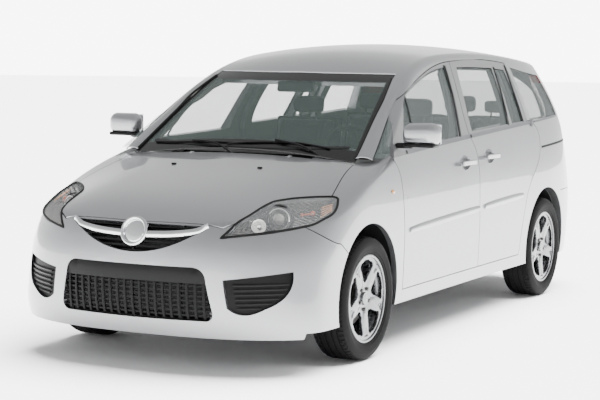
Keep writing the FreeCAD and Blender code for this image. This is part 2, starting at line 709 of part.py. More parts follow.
def hinge_pillar():
    """Pillar behind the fender that carries the front door's hinge arms."""
    front_y = DOOR_AXIS.y - S.hinge_arm_radius
    top = S.upper_hinge_height + S.hinge_arm_height
    head = block(S.pillar_x, S.door_axis_x - S.hinge_arm_radius + S.hinge_arm_width, front_y,
                 DOOR_AXIS.y - 2 * S.shut_gap, S.floor_top, top)
    foot = block(S.pillar_x, S.pillar_x + S.pillar_foot, front_y, DOOR_AXIS.y + S.shut_gap,
                 S.floor_top, top)
    return head.fuse([foot] + [hinge_arm(level, 0, ARM_SWEEP_ANGLE) for level in HINGE_LEVELS])


def door(runs, windows):
    panel = door_wall.common(through_side(runs))
    roof_side = block(0, S.ditch_half_width + S.shut_gap, 2 * NOSE, 2 * TAIL, 0, 2 * S.body_height)
    return biggest(panel.cut([roof_side, screen_room] + [through_side(w) for w in windows]))


# Middles of the handles in side view: share of the wheelbase, share of the body height
FRONT_HANDLE_SHARES = (0.502, 0.582)
SLIDING_HANDLE_SHARES = (0.646, 0.593)


def with_handle(panel, shares):
    """A door with a hollow in its skin and a pull bar on two feet across it."""
    middle = side_point(*shares)
    across = Part.makeLine(middle, middle + X_AXIS * ACROSS)
    skin = across.common(cabin_out).BoundBox.XMax
    cup = Part.makeSphere(1)
    matrix = FreeCAD.Matrix()
    matrix.scale(Vector(S.cup_depth, S.cup_length / 2, S.cup_height / 2))
    cup = cup.transformGeometry(matrix)
    cup.translate(middle + X_AXIS * skin)
    front, rear = middle.y - S.handle_length / 2, middle.y + S.handle_length / 2
    low, high = middle.z - S.handle_height / 2, middle.z + S.handle_height / 2
    face = skin + S.handle_stand
    back = face - S.handle_thickness
    bar = block(back, face, front, rear, low, high)
    bar = bar.makeFillet(S.handle_rounding, bar.Edges)
    foot = S.handle_height
    feet = [block(skin - S.handle_thickness, back + S.handle_rounding, start, start + foot,
                  low + S.handle_rounding, high - S.handle_rounding)
            for start in (front + S.handle_rounding, rear - S.handle_rounding - foot)]
    return biggest(panel.cut(cup).fuse([bar] + feet))


# Front view of the room inside the front door's leading edge: shares of the half width and of the
# body height; and how far back it reaches, as a share of the wheelbase behind the front axle
DOOR_RELIEF_SHARES = [(0, 0.70), (0.83, 0.70), (0.7358, 0.84), (0, 0.84)]
DOOR_RELIEF_END_SHARE = 0.3164


def door_relief():
    """What the front door leaves out beside the pillar, so that it swings clear of it."""
    corners = [Vector(HALF_WIDTH * a, 2 * NOSE, S.body_height * h) for a, h in DOOR_RELIEF_SHARES]
    face = Part.Face(Part.makePolygon(corners + corners[:1]))
    rear = FRONT_AXLE + S.wheel_base * DOOR_RELIEF_END_SHARE
    return face.extrude(Vector(0, rear - 2 * NOSE, 0))


def pane(runs):
    return biggest(glass_wall.common(through_side(runs)).cut(screen_prism))


side_left, tail_lamp = side_panel()
inner_left = inner_side()
arm_slots = [hinge_arm(level, S.seal_gap, ARM_SWEEP_ANGLE - ARM_START_ANGLE / 2)
             for level in HINGE_LEVELS]
inner_left = biggest(inner_left.fuse(hinge_pillar()).removeSplitter())
front_door_left = biggest(door(front_door_runs, [front_window]).cut(arm_slots + [door_relief()]))
front_door_left = with_handle(front_door_left, FRONT_HANDLE_SHARES)
sliding_door_left = door(sliding_door_runs, [sliding_window, sliding_pane])
sliding_door_left = with_handle(sliding_door_left, SLIDING_HANDLE_SHARES)
keep("tail_lamps", Part.makeCompound([tail_lamp, mirrored(tail_lamp)]))
keep("body_sides", Part.makeCompound([side_left, mirrored(side_left)]))
keep("door_frames", Part.makeCompound([inner_left, mirrored(inner_left)]))
keep("front_door_left", front_door_left)
keep("front_door_right", mirrored(front_door_left))
seal_depths = [depth + S.seal_gap for depth in door_depths]
seal_wall = between(cabin_form(*seal_depths), cabin_form(*recess_depths))
seal_ring = through_side(grown(sliding_door_runs, -S.seal_width)).cut(
    through_side(grown(sliding_door_runs, -2 * S.seal_width)))
seal = biggest(seal_wall.common(seal_ring))
keep("door_seals", Part.makeCompound([seal, mirrored(seal)]))
keep("sliding_doors", Part.makeCompound([sliding_door_left, mirrored(sliding_door_left)]))
front_glass = pane(front_window)
keep("front_door_glass_left", front_glass)
keep("front_door_glass_right", mirrored(front_glass))
fixed = [pane(runs) for runs in (sliding_window, sliding_pane, rear_quarter, front_quarter)]
keep("side_glass", Part.makeCompound(fixed + [mirrored(p) for p in fixed]))
keep("windshield", biggest(glass_wall.common(screen_prism).cut(hood_zone)))
keep("roof", biggest(door_wall.common(roof_prism)))
roof_room = block(-ACROSS, ACROSS, 0, HALF_LENGTH * ROOF_SHARES[1][1][1] + S.shut_gap,
                  S.body_height / 2, 2 * S.body_height)
gate = biggest(door_wall.common(gate_prism).cut(roof_room))
keep("tailgate", biggest(gate.cut(gate_window)))
keep("tailgate_glass", biggest(glass_wall.common(gate_window).cut(roof_room)))


# Front panels. The hood lifts off along a line that leans forward, so that its lip clears the nose.
# Hood outline from the nose back: share of the half width, share of the cowl setback, share of height
HOOD_SHARES = [
    [(0.0, 0.062, 0.4613), (0.343, 0.080, 0.458), (0.513, 0.104, 0.446)],
    [(0.513, 0.104, 0.446), (0.63, 0.172, 0.480), (0.76, 0.258, 0.512), (0.885, 0.345, 0.535)],
    [(0.885, 0.345, 0.535), (0.878, 0.50, 0.562), (0.845, 0.66, 0.585), (0.80, 0.83, 0.607),
     (0.777, 0.975, 0.625)],
    [(0.777, 0.975, 0.625), (0.39, 0.984, 0.6365), (0.0, 0.986, 0.638)],
    [(0.0, 0.986, 0.638), (0.0, 0.062, 0.4613)],
]
HOOD_LEAN_SHARE = 0.35
# Fender in side view: shares of the wheelbase behind the front axle and of the body height
FENDER_SHARES = [
    [(-0.1305, 0.395), (-0.153, 0.405), (-0.183, 0.433), (-0.2165, 0.470)],
    [(-0.2165, 0.470), (-0.2165, 0.70)],
    [(-0.2165, 0.70), (0.1558, 0.70)],
    [(0.1558, 0.70), (0.1558, 0.15)],
    [(0.1558, 0.15), (0.0, 0.10)],
    [(0.0, 0.10), (-0.05, 0.30)],
    [(-0.05, 0.30), (-0.1305, 0.395)],
]
# Headlamp seen from ahead and outboard: share of the body width along that view, share of height
LAMP_VIEW_ANGLE = 35
LAMP_START_SHARE = 1.85
LAMP_SHARES = [
    [(-0.511, 0.424), (-0.412, 0.431), (-0.323, 0.4435), (-0.253, 0.460), (-0.198, 0.4855)],
    [(-0.198, 0.4855), (-0.179, 0.520), (-0.185, 0.535)],
    [(-0.185, 0.535), (-0.258, 0.540), (-0.363, 0.522), (-0.446, 0.478), (-0.511, 0.424)],
]
# Openings of the nose in front view: shares of the half width and of the body height
GRILLE_SHARES = [
    [(0.0, 0.456), (0.36, 0.455)],
    [(0.36, 0.455), (0.43, 0.449), (0.36, 0.425)],
    [(0.36, 0.425), (0.13, 0.377), (0.0, 0.370)],
    [(0.0, 0.370), (0.0, 0.456)],
]
INTAKE_SHARES = [
    [(0.0, 0.334), (0.36, 0.334)],
    [(0.36, 0.334), (0.43, 0.323), (0.455, 0.29)],
    [(0.455, 0.29), (0.49, 0.20)],
    [(0.49, 0.20), (0.48, 0.18), (0.43, 0.172)],
    [(0.43, 0.172), (0.0, 0.170)],
    [(0.0, 0.170), (0.0, 0.334)],
]
FOG_SHARES = [
    [(0.545, 0.299), (0.715, 0.311), (0.867, 0.323)],
    [(0.867, 0.323), (0.845, 0.25), (0.758, 0.214)],
    [(0.758, 0.214), (0.61, 0.20), (0.568, 0.215)],
    [(0.568, 0.215), (0.545, 0.299)],
]


# Where the hood's prism starts below half the car's height, as a share of its setback
HOOD_START_SHARE = 0.25
# How deep an opening of the nose is cut, as a share of half the car's length
NOSE_CUT_SHARE = 1.25
# Uprights of the grilles, as shares of a front rail's place across the car
WEB_SHARES = (-1.4, -0.6, 0, 0.6, 1.4)
# Lowest and highest bar of each grille as shares of the body height
UPPER_GRILLE_SHARES = (0.37, 0.456)
LOWER_GRILLE_SHARES = (0.17, 0.334)
# The bumpers are open below from here: share of the front overhang; of a rail's place, of the rear overhang
FRONT_TRAY_SHARE = 1 / 3
REAR_TRAY_SHARES = (1.5, 0.9)


def hood_runs():
    level = S.body_height / 2
    runs = []
    for run in HOOD_SHARES:
        moved = []
        for x, y, z in run:
            up = S.body_height * z
            back = NOSE + S.cowl_setback * y + HOOD_LEAN_SHARE * (up - level)
            moved.append(Vector(HALF_WIDTH * x, back, 0))
        runs.append(moved)
    return runs


def hood_prism(distance=0.0):
    lean = Vector(0, -HOOD_LEAN_SHARE, 1)
    start = Vector(0, 0, S.body_height / 2) - lean * S.cowl_setback * HOOD_START_SHARE
    return both_sides(prism(grown(hood_runs(), distance), start, lean * S.cowl_setback))


def lamp_prism(distance=0.0):
    """The headlamp's outline carried inward from ahead and outboard of the lamp."""
    turn = math.radians(LAMP_VIEW_ANGLE)
    along = Vector(math.cos(turn), math.sin(turn), 0)
    outward = Vector(math.sin(turn), -math.cos(turn), 0)
    runs = [[along * (S.body_width * a) + Z_AXIS * (S.body_height * h) for a, h in run]
            for run in LAMP_SHARES]
    return prism(grown(runs, distance), outward * S.front_overhang * LAMP_START_SHARE,
                 outward * S.front_overhang)


def nose_prism(run_shares, distance=0.0):
    runs = grown(rear_outline(run_shares), distance)
    return prism(runs, Vector(0, 2 * NOSE, 0), Vector(0, -NOSE * NOSE_CUT_SHARE, 0))


lamp_start = lamp_prism()
fender_prism = through_side(side_outline(FENDER_SHARES))
fender_room = through_side(grown(side_outline(FENDER_SHARES), S.shut_gap))
grille_prism = both_sides(nose_prism(GRILLE_SHARES))
intake_prism = both_sides(nose_prism(INTAKE_SHARES))
fog_prism = nose_prism(FOG_SHARES)


def fender():
    panel = front_wall.common(fender_prism)
    floor = block(0, ACROSS, NOSE, 0, 0, S.sill_height + S.seal_gap)
    door_room = through_side(grown(front_door_runs, S.shut_gap))
    panel = panel.cut([hood_prism(S.shut_gap), lamp_prism(S.seal_gap), front_arch(S.arch_radius),
                       floor, door_room])
    return biggest(panel)


def front_bumper():
    zone = block(-ACROSS, ACROSS, 2 * NOSE, FRONT_AXLE - S.arch_radius / 2, 0, S.body_height)
    panel = front_wall.common(zone)
    lamp = lamp_prism(S.seal_gap)
    wheel = front_arch(S.arch_radius)
    tray = block(-HALF_WIDTH, HALF_WIDTH, NOSE + S.front_overhang * FRONT_TRAY_SHARE, 0, 0,
                 S.chin_height + S.panel_depth + S.seal_gap)
    panel = panel.cut([hood_prism(S.shut_gap), lamp, mirrored(lamp), fender_room,
                       mirrored(fender_room), wheel, mirrored(wheel), grille_prism, intake_prism,
                       fog_prism, mirrored(fog_prism), tray])
    return biggest(panel)


grille_back = S.grille_inset + S.grille_depth
grille_wall = between(front_form(S.grille_inset), front_form(grille_back))
lens_wall = between(front_form(S.seal_gap), front_form(S.lens_thickness))
lamp_wall = between(front_form(S.lens_thickness + S.seal_gap), front_form(S.lamp_depth))


def grille(opening, bar_shares):
    """Bars across an opening, joined by upright webs, behind the bumper's surface."""
    low, high = [S.body_height * share for share in bar_shares]
    layer = grille_wall.common(opening).cut(hood_prism(S.shut_gap))
    gaps = []
    level = low + S.bar_height
    while level < high:
        gaps.append(block(-HALF_WIDTH, HALF_WIDTH, 2 * NOSE, FRONT_AXLE,
                          level, level + S.bar_pitch - S.bar_height))
        level += S.bar_pitch
    webs = []
    for share in WEB_SHARES:
        x = S.rail_x * share
        webs.append(block(x - S.bar_height / 2, x + S.bar_height / 2, 2 * NOSE, FRONT_AXLE,
                          0, S.body_height))
    openings = Part.makeCompound(gaps).cut(webs)
    bars = layer.cut(openings)
    return biggest(bars)


hood_room = hood_prism(S.shut_gap)
hood = biggest(front_wall.common(hood_prism()))
fender_left = fender()
keep("fenders", Part.makeCompound([fender_left, mirrored(fender_left)]))
keep("front_bumper", front_bumper())
upper_grille = grille(grille_prism, UPPER_GRILLE_SHARES)
lower_grille = grille(intake_prism, LOWER_GRILLE_SHARES)
keep("grilles", Part.makeCompound([upper_grille, lower_grille]))
fog_insert = biggest(grille_wall.common(fog_prism))
keep("fog_lamp_inserts", Part.makeCompound([fog_insert, mirrored(fog_insert)]))
lens = biggest(lens_wall.common(lamp_start).cut(hood_room))
keep("headlamp_lenses", Part.makeCompound([lens, mirrored(lens)]))
lamp_body = biggest(lamp_wall.common(lamp_start).cut(hood_room))
keep("headlamps", Part.makeCompound([lamp_body, mirrored(lamp_body)]))

rear_zone = block(-ACROSS, ACROSS, REAR_AXLE + S.arch_radius * REAR_BUMPER_START_SHARE, 2 * TAIL,
                  0, S.bumper_rear_height)
tray_half = S.rail_x * REAR_TRAY_SHARES[0]
rear_tray = block(-tray_half, tray_half, 0, REAR_AXLE + REAR_OVERHANG * REAR_TRAY_SHARES[1],
                  0, S.sill_height + S.door_thickness)
rear_panel = door_wall.common(rear_zone)
rear_panel = rear_panel.cut([gate_cut, rear_arch(S.arch_radius), mirrored(rear_arch(S.arch_radius)),
                             rear_tray])
keep("rear_bumper", biggest(rear_panel))


class Measure:
    """A length together with the sheet expression that gives it."""

    def __init__(self, value, text):
        self.value = value
        self.text = text

    def __add__(self, other):
        return Measure(self.value + other.value, f"({self.text} + {other.text})")

    def __sub__(self, other):
        return Measure(self.value - other.value, f"({self.text} - {other.text})")

    def __mul__(self, share):
        return Measure(self.value * share, f"{self.text} * {share}")

    def __neg__(self):
        return Measure(-self.value, f"-{self.text}")


class Cells:
    """The cells of the sheet by name, as measures."""

    def __getattr__(self, alias):
        return Measure(float(sheet.get(alias)), f"Sizes.{alias}")


C = Cells()
ZERO = Measure(0.0, "0")


def plane_of(body, role):
    return next(f for f in body.Origin.OriginFeatures if f.Role == role)


def profile(body, name, role, corners):
    """Closed outline of straight lines, each corner held to the sheet by its two distances."""
    sketch = body.newObject("Sketcher::SketchObject", name)
    sketch.AttachmentSupport = [(plane_of(body, role), "")]
    sketch.MapMode = "FlatFace"
    points = [Vector(h.value, v.value, 0) for h, v in corners]
    count = len(points)
    for number in range(count):
        sketch.addGeometry(Part.LineSegment(points[number], points[(number + 1) % count]), False)
    for number in range(count):
        following = (number + 1) % count
        sketch.addConstraint(Sketcher.Constraint("Coincident", number, 2, following, 1))
    for number, measures in enumerate(corners):
        for kind, axis, measure in (("DistanceX", -2, measures[0]), ("DistanceY", -1, measures[1])):
            if measure is ZERO:
                sketch.addConstraint(Sketcher.Constraint("PointOnObject", number, 1, axis))
                continue
            index = sketch.addConstraint(
                Sketcher.Constraint(kind, -1, 1, number, 1, measure.value))
            sketch.setExpression(f"Constraints[{index}]", measure.text)
    return sketch


def new_body(name):
    body = doc.addObject("PartDesign::Body", name)
    body.Label = name
    PARTS[name] = body
    return body


def feature(body, kind, name, sketch, **settings):
    item = body.newObject("PartDesign::" + kind, name)
    item.Profile = sketch
    for key, setting in settings.items():
        if isinstance(setting, Measure):
            item.setExpression(key, setting.text)
        else:
            setattr(item, key, setting)
    sketch.Visibility = False
    return item


# A wheel is turned about X: in its sketch, across is outward along the axle and up is the radius
# Tyre section: half widths, and heights of the side wall from the bead seat to the tread
BEAD_SHARE = 0.80
TYRE_SIDE_SHARES = [(0.95, 0.30), (1.0, 0.52), (0.95, 0.78), (0.83, 0.963), (0.62, 1.0)]
# Places across the rim as shares of its half width
LIP_SHARE, FLANGE_SHARE = 1.06, 0.97
DROP_SHARES = (-0.50, -0.35, 0.25, 0.45)
DISC_SHARES = (0.62, 0.88)
# Window between two spokes as shares of the rim's radius
WINDOW_SHARES = [(-0.10, 0.44), (0.10, 0.44), (0.36, 0.80), (0.24, 0.88), (-0.24, 0.88), (-0.36, 0.80)]
SPOKES = 5
HALF = 0.5
FULL_TURN = 360


def tyre(name, place):
    body = new_body(name)
    half = C.tyre_width * HALF
    seat = C.rim_radius
    bead_top = seat + C.rim_flange + C.seal_gap
    side = [(half * a, seat + (C.tyre_radius - seat) * b) for a, b in TYRE_SIDE_SHARES]
    far_side = [(half * -a, seat + (C.tyre_radius - seat) * b) for a, b in TYRE_SIDE_SHARES]
    outline_points = [
        (half * -BEAD_SHARE, seat), (half * BEAD_SHARE, seat), (half * BEAD_SHARE, bead_top),
        *side, *reversed(far_side), (half * -BEAD_SHARE, bead_top),
    ]
    sketch = profile(body, name + "_section", "XY_Plane", outline_points)
    feature(body, "Revolution", name + "_ring", sketch, ReferenceAxis=(sketch, ["H_Axis"]), Angle=FULL_TURN)
    body.Placement = place
    return body


def rim(name, place):
    """Wheel rim: barrel with drop centre, and a disc pierced by five windows."""
    body = new_body(name)
    half = C.rim_width * HALF
    seat = C.rim_radius - C.seal_gap
    edge = seat + C.rim_flange
    inner = seat - C.rim_wall
    drop_start, floor_start, floor_end, drop_end = [half * share for share in DROP_SHARES]
    disc_back, disc_front = [half * share for share in DISC_SHARES]
    face = C.wheel_offset + C.rim_drop
    bore = C.stub_radius + C.running_clearance
    barrel = [
        (half * -LIP_SHARE, inner), (half * -LIP_SHARE, edge), (half * -FLANGE_SHARE, edge),
        (half * -FLANGE_SHARE, seat), (drop_start, seat), (floor_start, seat - C.rim_drop),
        (floor_end, seat - C.rim_drop), (drop_end, seat), (half * FLANGE_SHARE, seat),
        (half * FLANGE_SHARE, edge), (half * LIP_SHARE, edge), (half * LIP_SHARE, inner),
        (disc_front, inner), (face, C.hat_radius), (face, bore), (C.wheel_offset, bore),
        (C.wheel_offset, C.hat_radius), (disc_back, inner), (drop_end, inner),
        (floor_end, inner - C.rim_drop), (floor_start, inner - C.rim_drop), (drop_start, inner),
    ]
    sketch = profile(body, name + "_section", "XY_Plane", barrel)
    feature(body, "Revolution", name + "_wheel", sketch, ReferenceAxis=(sketch, ["H_Axis"]), Angle=FULL_TURN)
    window = profile(body, name + "_window", "YZ_Plane",
                     [(C.rim_radius * a, C.rim_radius * b) for a, b in WINDOW_SHARES])
    pierced = feature(body, "Pocket", name + "_pierced", window, Type=1, Midplane=True)
    ring = body.newObject("PartDesign::PolarPattern", name + "_windows")
    ring.Originals = [pierced]
    ring.Axis = (plane_axis(body, "X_Axis"), [""])
    ring.Angle = FULL_TURN
    ring.Occurrences = SPOKES
    body.Tip = ring
    body.Placement = place
    return body


def plane_axis(body, role):
    return next(f for f in body.Origin.OriginFeatures if f.Role == role)


def brake_disc(name, place, radius):
    body = new_body(name)
    face = C.wheel_offset - C.seal_gap
    outer = face - C.hat_depth
    hat = [
        (face, C.stub_radius + C.running_clearance), (face, C.hat_radius),
        (outer, C.hat_radius), (outer, radius), (outer - C.disc_thickness, radius),
        (outer - C.disc_thickness, C.hat_radius - C.hat_wall),
        (face - C.hat_wall, C.hat_radius - C.hat_wall),
        (face - C.hat_wall, C.stub_radius + C.running_clearance),
    ]
    sketch = profile(body, name + "_section", "XY_Plane", hat)
    feature(body, "Revolution", name + "_turned", sketch, ReferenceAxis=(sketch, ["H_Axis"]), Angle=FULL_TURN)
    body.Placement = place
    return body


def wheel_place(side, axle_y):
    turn = Rotation(Z_AXIS, 0 if side > 0 else 180)
    return Placement(Vector(side * WHEEL_X, axle_y, AXLE_Z), turn)


for end, axle_y, disc_radius in (
        ("front", FRONT_AXLE, C.disc_radius_front), ("rear", REAR_AXLE, C.disc_radius_rear)):
    for hand, side in (("left", 1), ("right", -1)):
        place = wheel_place(side, axle_y)
        tyre(f"tyre_{end}_{hand}", place)
        rim(f"rim_{end}_{hand}", place)
        brake_disc(f"brake_disc_{end}_{hand}", place, disc_radius)
doc.recompute()


def cylinder(start, end, radius):
    """A round bar between two points."""
    travel = end - start
    return Part.makeCylinder(radius, travel.Length, start, travel)


def ring_half(radius, wall, axle_y, forward, inner_x, outer_x):
    """A liner like the upper half of a tube, open downward, closed on its inboard side."""
    middle = AXLE_Z + S.arch_lift
    start = Vector(inner_x, axle_y - forward, middle)
    outer = Part.makeCylinder(radius, outer_x - inner_x, start, X_AXIS)
    bore = Part.makeCylinder(radius - wall, outer_x - inner_x, start + X_AXIS * wall, X_AXIS)
    below = block(0, ACROSS, axle_y - ACROSS, axle_y + ACROSS, -S.body_height, AXLE_Z + S.arm_width)
    return biggest(outer.cut(bore).cut(below))


# Room that a spring has in its wheel arch, as a share of its radius
SPRING_ROOM_SHARE = 1.7
liner_outer = HALF_WIDTH - S.panel_depth
front_liner = ring_half(S.arch_radius + S.arch_swell, S.liner_wall, FRONT_AXLE, S.arch_forward,
                        HALF_WIDTH - S.steer_depth, liner_outer)
strut_half = S.spring_radius * SPRING_ROOM_SHARE
strut_room = block(0, S.strut_top_x + strut_half, FRONT_AXLE - strut_half, FRONT_AXLE + strut_half,
                   0, S.body_height)
front_liner = biggest(front_liner.cut(strut_room).common(front_form(S.panel_depth + S.seal_gap)))
rear_liner = ring_half(S.arch_radius - S.seal_gap, S.liner_wall, REAR_AXLE, 0,
                       HALF_WIDTH - S.arch_depth, HALF_WIDTH - S.panel_depth * 2)
keep("wheel_arch_liners", Part.makeCompound(
    [front_liner, rear_liner, mirrored(front_liner), mirrored(rear_liner)]))


KICK_Y = FRONT_AXLE + S.kick_setback
BULKHEAD_Y = FRONT_AXLE + S.arch_radius + S.overrun


def side_sheet(points, thickness):
    """A sheet across the whole car that follows a side-view path, thickened to its right."""
    runs = [[points[i], points[i + 1]] for i in range(len(points) - 1)]
    back = []
    for number, point in enumerate(points):
        before = points[max(number - 1, 0)]
        after = points[min(number + 1, len(points) - 1)]
        side = Vector()
        for start, end in ((before, point), (point, after)):
            if (end - start).Length > S.seal_gap:
                side += (end - start).normalize().cross(X_AXIS)
        side.normalize()
        nearest = (after - point) if number < len(points) - 1 else (point - before)
        facing = nearest.normalize().cross(X_AXIS)
        back.append(point + side * (thickness / side.dot(facing)))
    back.reverse()
    runs.append([points[-1], back[0]])
    runs += [[back[i], back[i + 1]] for i in range(len(back) - 1)]
    runs.append([back[-1], points[0]])
    return side_prism(runs, -ACROSS, ACROSS)


def floor_pan():
    """Bulkhead, cabin floor with a centre tunnel, and the raised floor over the rear axle."""
    path = [Vector(0, BULKHEAD_Y, S.dash_top - S.overrun / 2), Vector(0, BULKHEAD_Y, S.floor_top),
            Vector(0, KICK_Y, S.floor_top), Vector(0, KICK_Y, S.load_floor_top),
            Vector(0, TAIL, S.load_floor_top)]
    pan = side_sheet(path, S.floor_thickness)
    tunnel = block(-S.overrun * 2, S.overrun * 2, BULKHEAD_Y, KICK_Y,
                   S.floor_top - S.seal_gap, S.floor_top + S.overrun)
    pan = pan.fuse(tunnel).common(cabin_hollow)
    wheel = rear_arch(S.arch_radius)
    return biggest(pan.cut([wheel, mirrored(wheel)]))


keep("floor_pan", floor_pan())
HOOD_AXIS = Vector(0, NOSE + S.hood_axis_setback, S.hood_axis_height)


def hood_pins(radius, reach):
    """Round bars on the hood's hinge axis at both hinges."""
    bars = []
    for x in (-S.hinge_x, S.hinge_x):
        middle = HOOD_AXIS + X_AXIS * x
        bars.append(cylinder(middle - X_AXIS * reach, middle + X_AXIS * reach, radius))
    return bars


# Drop of the tray at its front, under the hinge axis, at its rear, and of the lugs' feet
COWL_DROP_SHARES = (1.3, 1.0, 0.86, 1.1)


def cowl_panel():
    """Tray below the windshield with the lugs and pins of the hood's hinges."""
    front_drop, axis_drop, rear_drop, lug_drop = [S.cowl_drop * share for share in COWL_DROP_SHARES]
    path = [Vector(0, HOOD_AXIS.y - S.overrun, S.hood_axis_height - front_drop),
            Vector(0, HOOD_AXIS.y, S.hood_axis_height - axis_drop),
            Vector(0, BULKHEAD_Y - S.floor_thickness - S.seal_gap, S.dash_top - rear_drop)]
    tray = side_sheet(path, S.cowl_thickness)
    tray = tray.common(block(-S.cowl_half_width, S.cowl_half_width, 2 * NOSE, 0, 0, S.body_height))
    lugs = []
    for x in (-S.hinge_x, S.hinge_x):
        for side in (-1, 1):
            middle = x + side * S.hinge_lug_reach
            lugs.append(block(middle - S.hinge_pin_radius / 2, middle + S.hinge_pin_radius / 2,
                              HOOD_AXIS.y - S.hinge_pin_radius, HOOD_AXIS.y + 2 * S.hinge_pin_radius,
                              S.hood_axis_height - lug_drop, S.hood_axis_height + S.hinge_pin_radius))
    return fused(tray, *lugs, *hood_pins(S.hinge_pin_radius, S.hinge_lug_reach))


keep("cowl_panel", cowl_panel())
hood_ears = hood_pins(2 * S.hinge_pin_radius, S.hinge_pin_radius * 2)
for x in (-S.hinge_x, S.hinge_x):
    hood_ears.append(block(x - 2 * S.hinge_pin_radius, x + 2 * S.hinge_pin_radius,
                           HOOD_AXIS.y - S.hinge_ear_length, HOOD_AXIS.y,
                           HOOD_AXIS.z - S.hinge_pin_radius, HOOD_AXIS.z + S.hinge_pin_radius))
ear_bores = hood_pins(S.hinge_pin_radius + S.running_clearance, S.overrun)
keep("hood", biggest(hood.fuse(hood_ears).removeSplitter().cut(ear_bores)))

KINGPIN_TOP = Vector(S.strut_top_x, FRONT_AXLE, S.strut_top_height)
KINGPIN_FOOT = Vector(S.kingpin_foot_x, FRONT_AXLE, S.kingpin_foot_height)
KINGPIN = (KINGPIN_TOP - KINGPIN_FOOT).normalize()


def pin_at(point, radius, below, above):
    """A round bar on the steering axis, from below a point of it to above."""
    return cylinder(point - KINGPIN * below, point + KINGPIN * above, radius)


# Half length of the plate that a spring stands under, as a share of its radius
SPRING_SEAT_SHARE = 1.5


def front_frame():
    """Front rails, crossbar, strut towers with their bearings, and the cradle under the engine."""
    rail_foot = S.floor_top + S.overrun
    rail_top = rail_foot + S.rail_height
    inner = S.rail_x - S.rail_width / 2
    outer = S.rail_x + S.rail_width / 2
    reach = S.spring_radius * SPRING_SEAT_SHARE
    crossbar_y = NOSE + S.crossbar_setback
    cradle_end = FRONT_AXLE + S.cradle_setback
    tower_foot = S.strut_top_height - S.bush_wall
    rail = block(inner, outer, crossbar_y, BULKHEAD_Y - S.floor_thickness, rail_foot, rail_top)
    inside = front_form(S.panel_depth + S.seal_gap)
    plate = block(inner, ACROSS, FRONT_AXLE - reach, FRONT_AXLE + reach,
                  tower_foot, S.strut_top_height).common(inside)
    crash_box = block(inner, outer, NOSE, crossbar_y, rail_foot, rail_top).common(inside)
    wall = block(inner, inner + S.bush_wall, FRONT_AXLE - reach, FRONT_AXLE + reach,
                 rail_foot, S.strut_top_height)
    bearing = pin_at(KINGPIN_TOP, S.kingpin_radius + S.bush_wall, S.bush_wall, S.bush_wall)
    bore = pin_at(KINGPIN_TOP, S.kingpin_radius + S.running_clearance, S.overrun, S.overrun)
    tower = fused(rail, plate, wall, bearing).cut(bore)
    post = block(inner, outer, cradle_end - S.overrun, cradle_end,
                 S.chin_height, rail_foot + S.overrun / 2)
    cradle = block(-outer, outer, FRONT_AXLE - S.overrun, cradle_end, S.chin_height, S.sill_height)
    crossbar = block(-outer, outer, crossbar_y - S.overrun, crossbar_y, rail_foot, rail_top)
    arm = block(outer - S.overrun, S.kingpin_foot_x, FRONT_AXLE - S.arm_width / 2,
                FRONT_AXLE + S.arm_width / 2, S.kingpin_foot_height - S.arm_thickness / 2,
                S.kingpin_foot_height + S.arm_thickness / 2)
    socket = pin_at(KINGPIN_FOOT, S.kingpin_radius + S.bush_wall, S.bush_wall, S.bush_wall)
    eye = pin_at(KINGPIN_FOOT, S.kingpin_radius + S.running_clearance, S.overrun, S.overrun)
    low_arm = fused(arm, socket).cut(eye)
    return fused(tower, mirrored(tower), post, mirrored(post), cradle, crossbar, crash_box,
                 mirrored(crash_box), low_arm, mirrored(low_arm))


keep("front_frame", front_frame())

engine = block(-S.engine_width / 2, S.engine_width / 2, NOSE + S.engine_setback,
               NOSE + S.engine_setback + S.engine_length, S.sill_height + S.seal_gap,
               S.sill_height + S.engine_height)
keep("engine", engine)


def knuckle():
    """Left front knuckle with stub axle, steering axis pins, strut with spring, and brake caliper."""
    face = WHEEL_X + S.wheel_offset
    disc_outer = face - S.seal_gap - S.hat_depth
    disc_inner = disc_outer - S.disc_thickness
    inner = disc_inner - S.knuckle_face
    centre = Vector(0, FRONT_AXLE, AXLE_Z)
    stub = cylinder(centre + X_AXIS * inner, centre + X_AXIS * (face + S.rim_drop), S.stub_radius)
    hub = cylinder(centre + X_AXIS * inner, centre + X_AXIS * (disc_inner - S.shut_gap), S.hub_radius)
    strut_foot = Vector(S.strut_foot_x, FRONT_AXLE, AXLE_Z)
    along = (KINGPIN_TOP - strut_foot).normalize()
    reach = (KINGPIN_TOP - strut_foot).Length
    strut = cylinder(strut_foot, KINGPIN_TOP - along * S.bush_wall * 3, S.strut_radius)
    spring = cylinder(strut_foot + along * reach * 0.66, strut_foot + along * reach * 0.92,
                      S.spring_radius)
    top_pin = pin_at(KINGPIN_TOP, S.kingpin_radius, S.bush_wall * 4, S.bush_wall * 1.5)
    foot_pin = pin_at(KINGPIN_FOOT, S.kingpin_radius, S.bush_wall, S.bush_wall * 3)
    half = S.hub_radius * 0.6
    web = block(S.strut_foot_x - S.strut_radius, disc_inner - S.shut_gap, FRONT_AXLE - half,
                FRONT_AXLE + half, S.kingpin_foot_height + S.bush_wall * 2, AXLE_Z + S.hub_radius)
    reach_out = S.disc_radius_front + S.bush_wall
    caliper = block(inner, disc_outer + S.overrun / 3, FRONT_AXLE + S.hat_radius + S.bush_wall,
                    FRONT_AXLE + reach_out, AXLE_Z - S.caliper_width / 2, AXLE_Z + S.caliper_width / 2)
    slot = Part.makeCylinder(S.disc_radius_front + S.shut_gap, S.disc_thickness + 2 * S.shut_gap,
                             centre + X_AXIS * (disc_inner - S.shut_gap), X_AXIS)
    carrier = block(inner, disc_inner - S.shut_gap, FRONT_AXLE, FRONT_AXLE + reach_out,
                    AXLE_Z - half, AXLE_Z + half)
    return fused(stub, hub, strut, spring, top_pin, foot_pin, web, caliper.cut(slot), carrier)


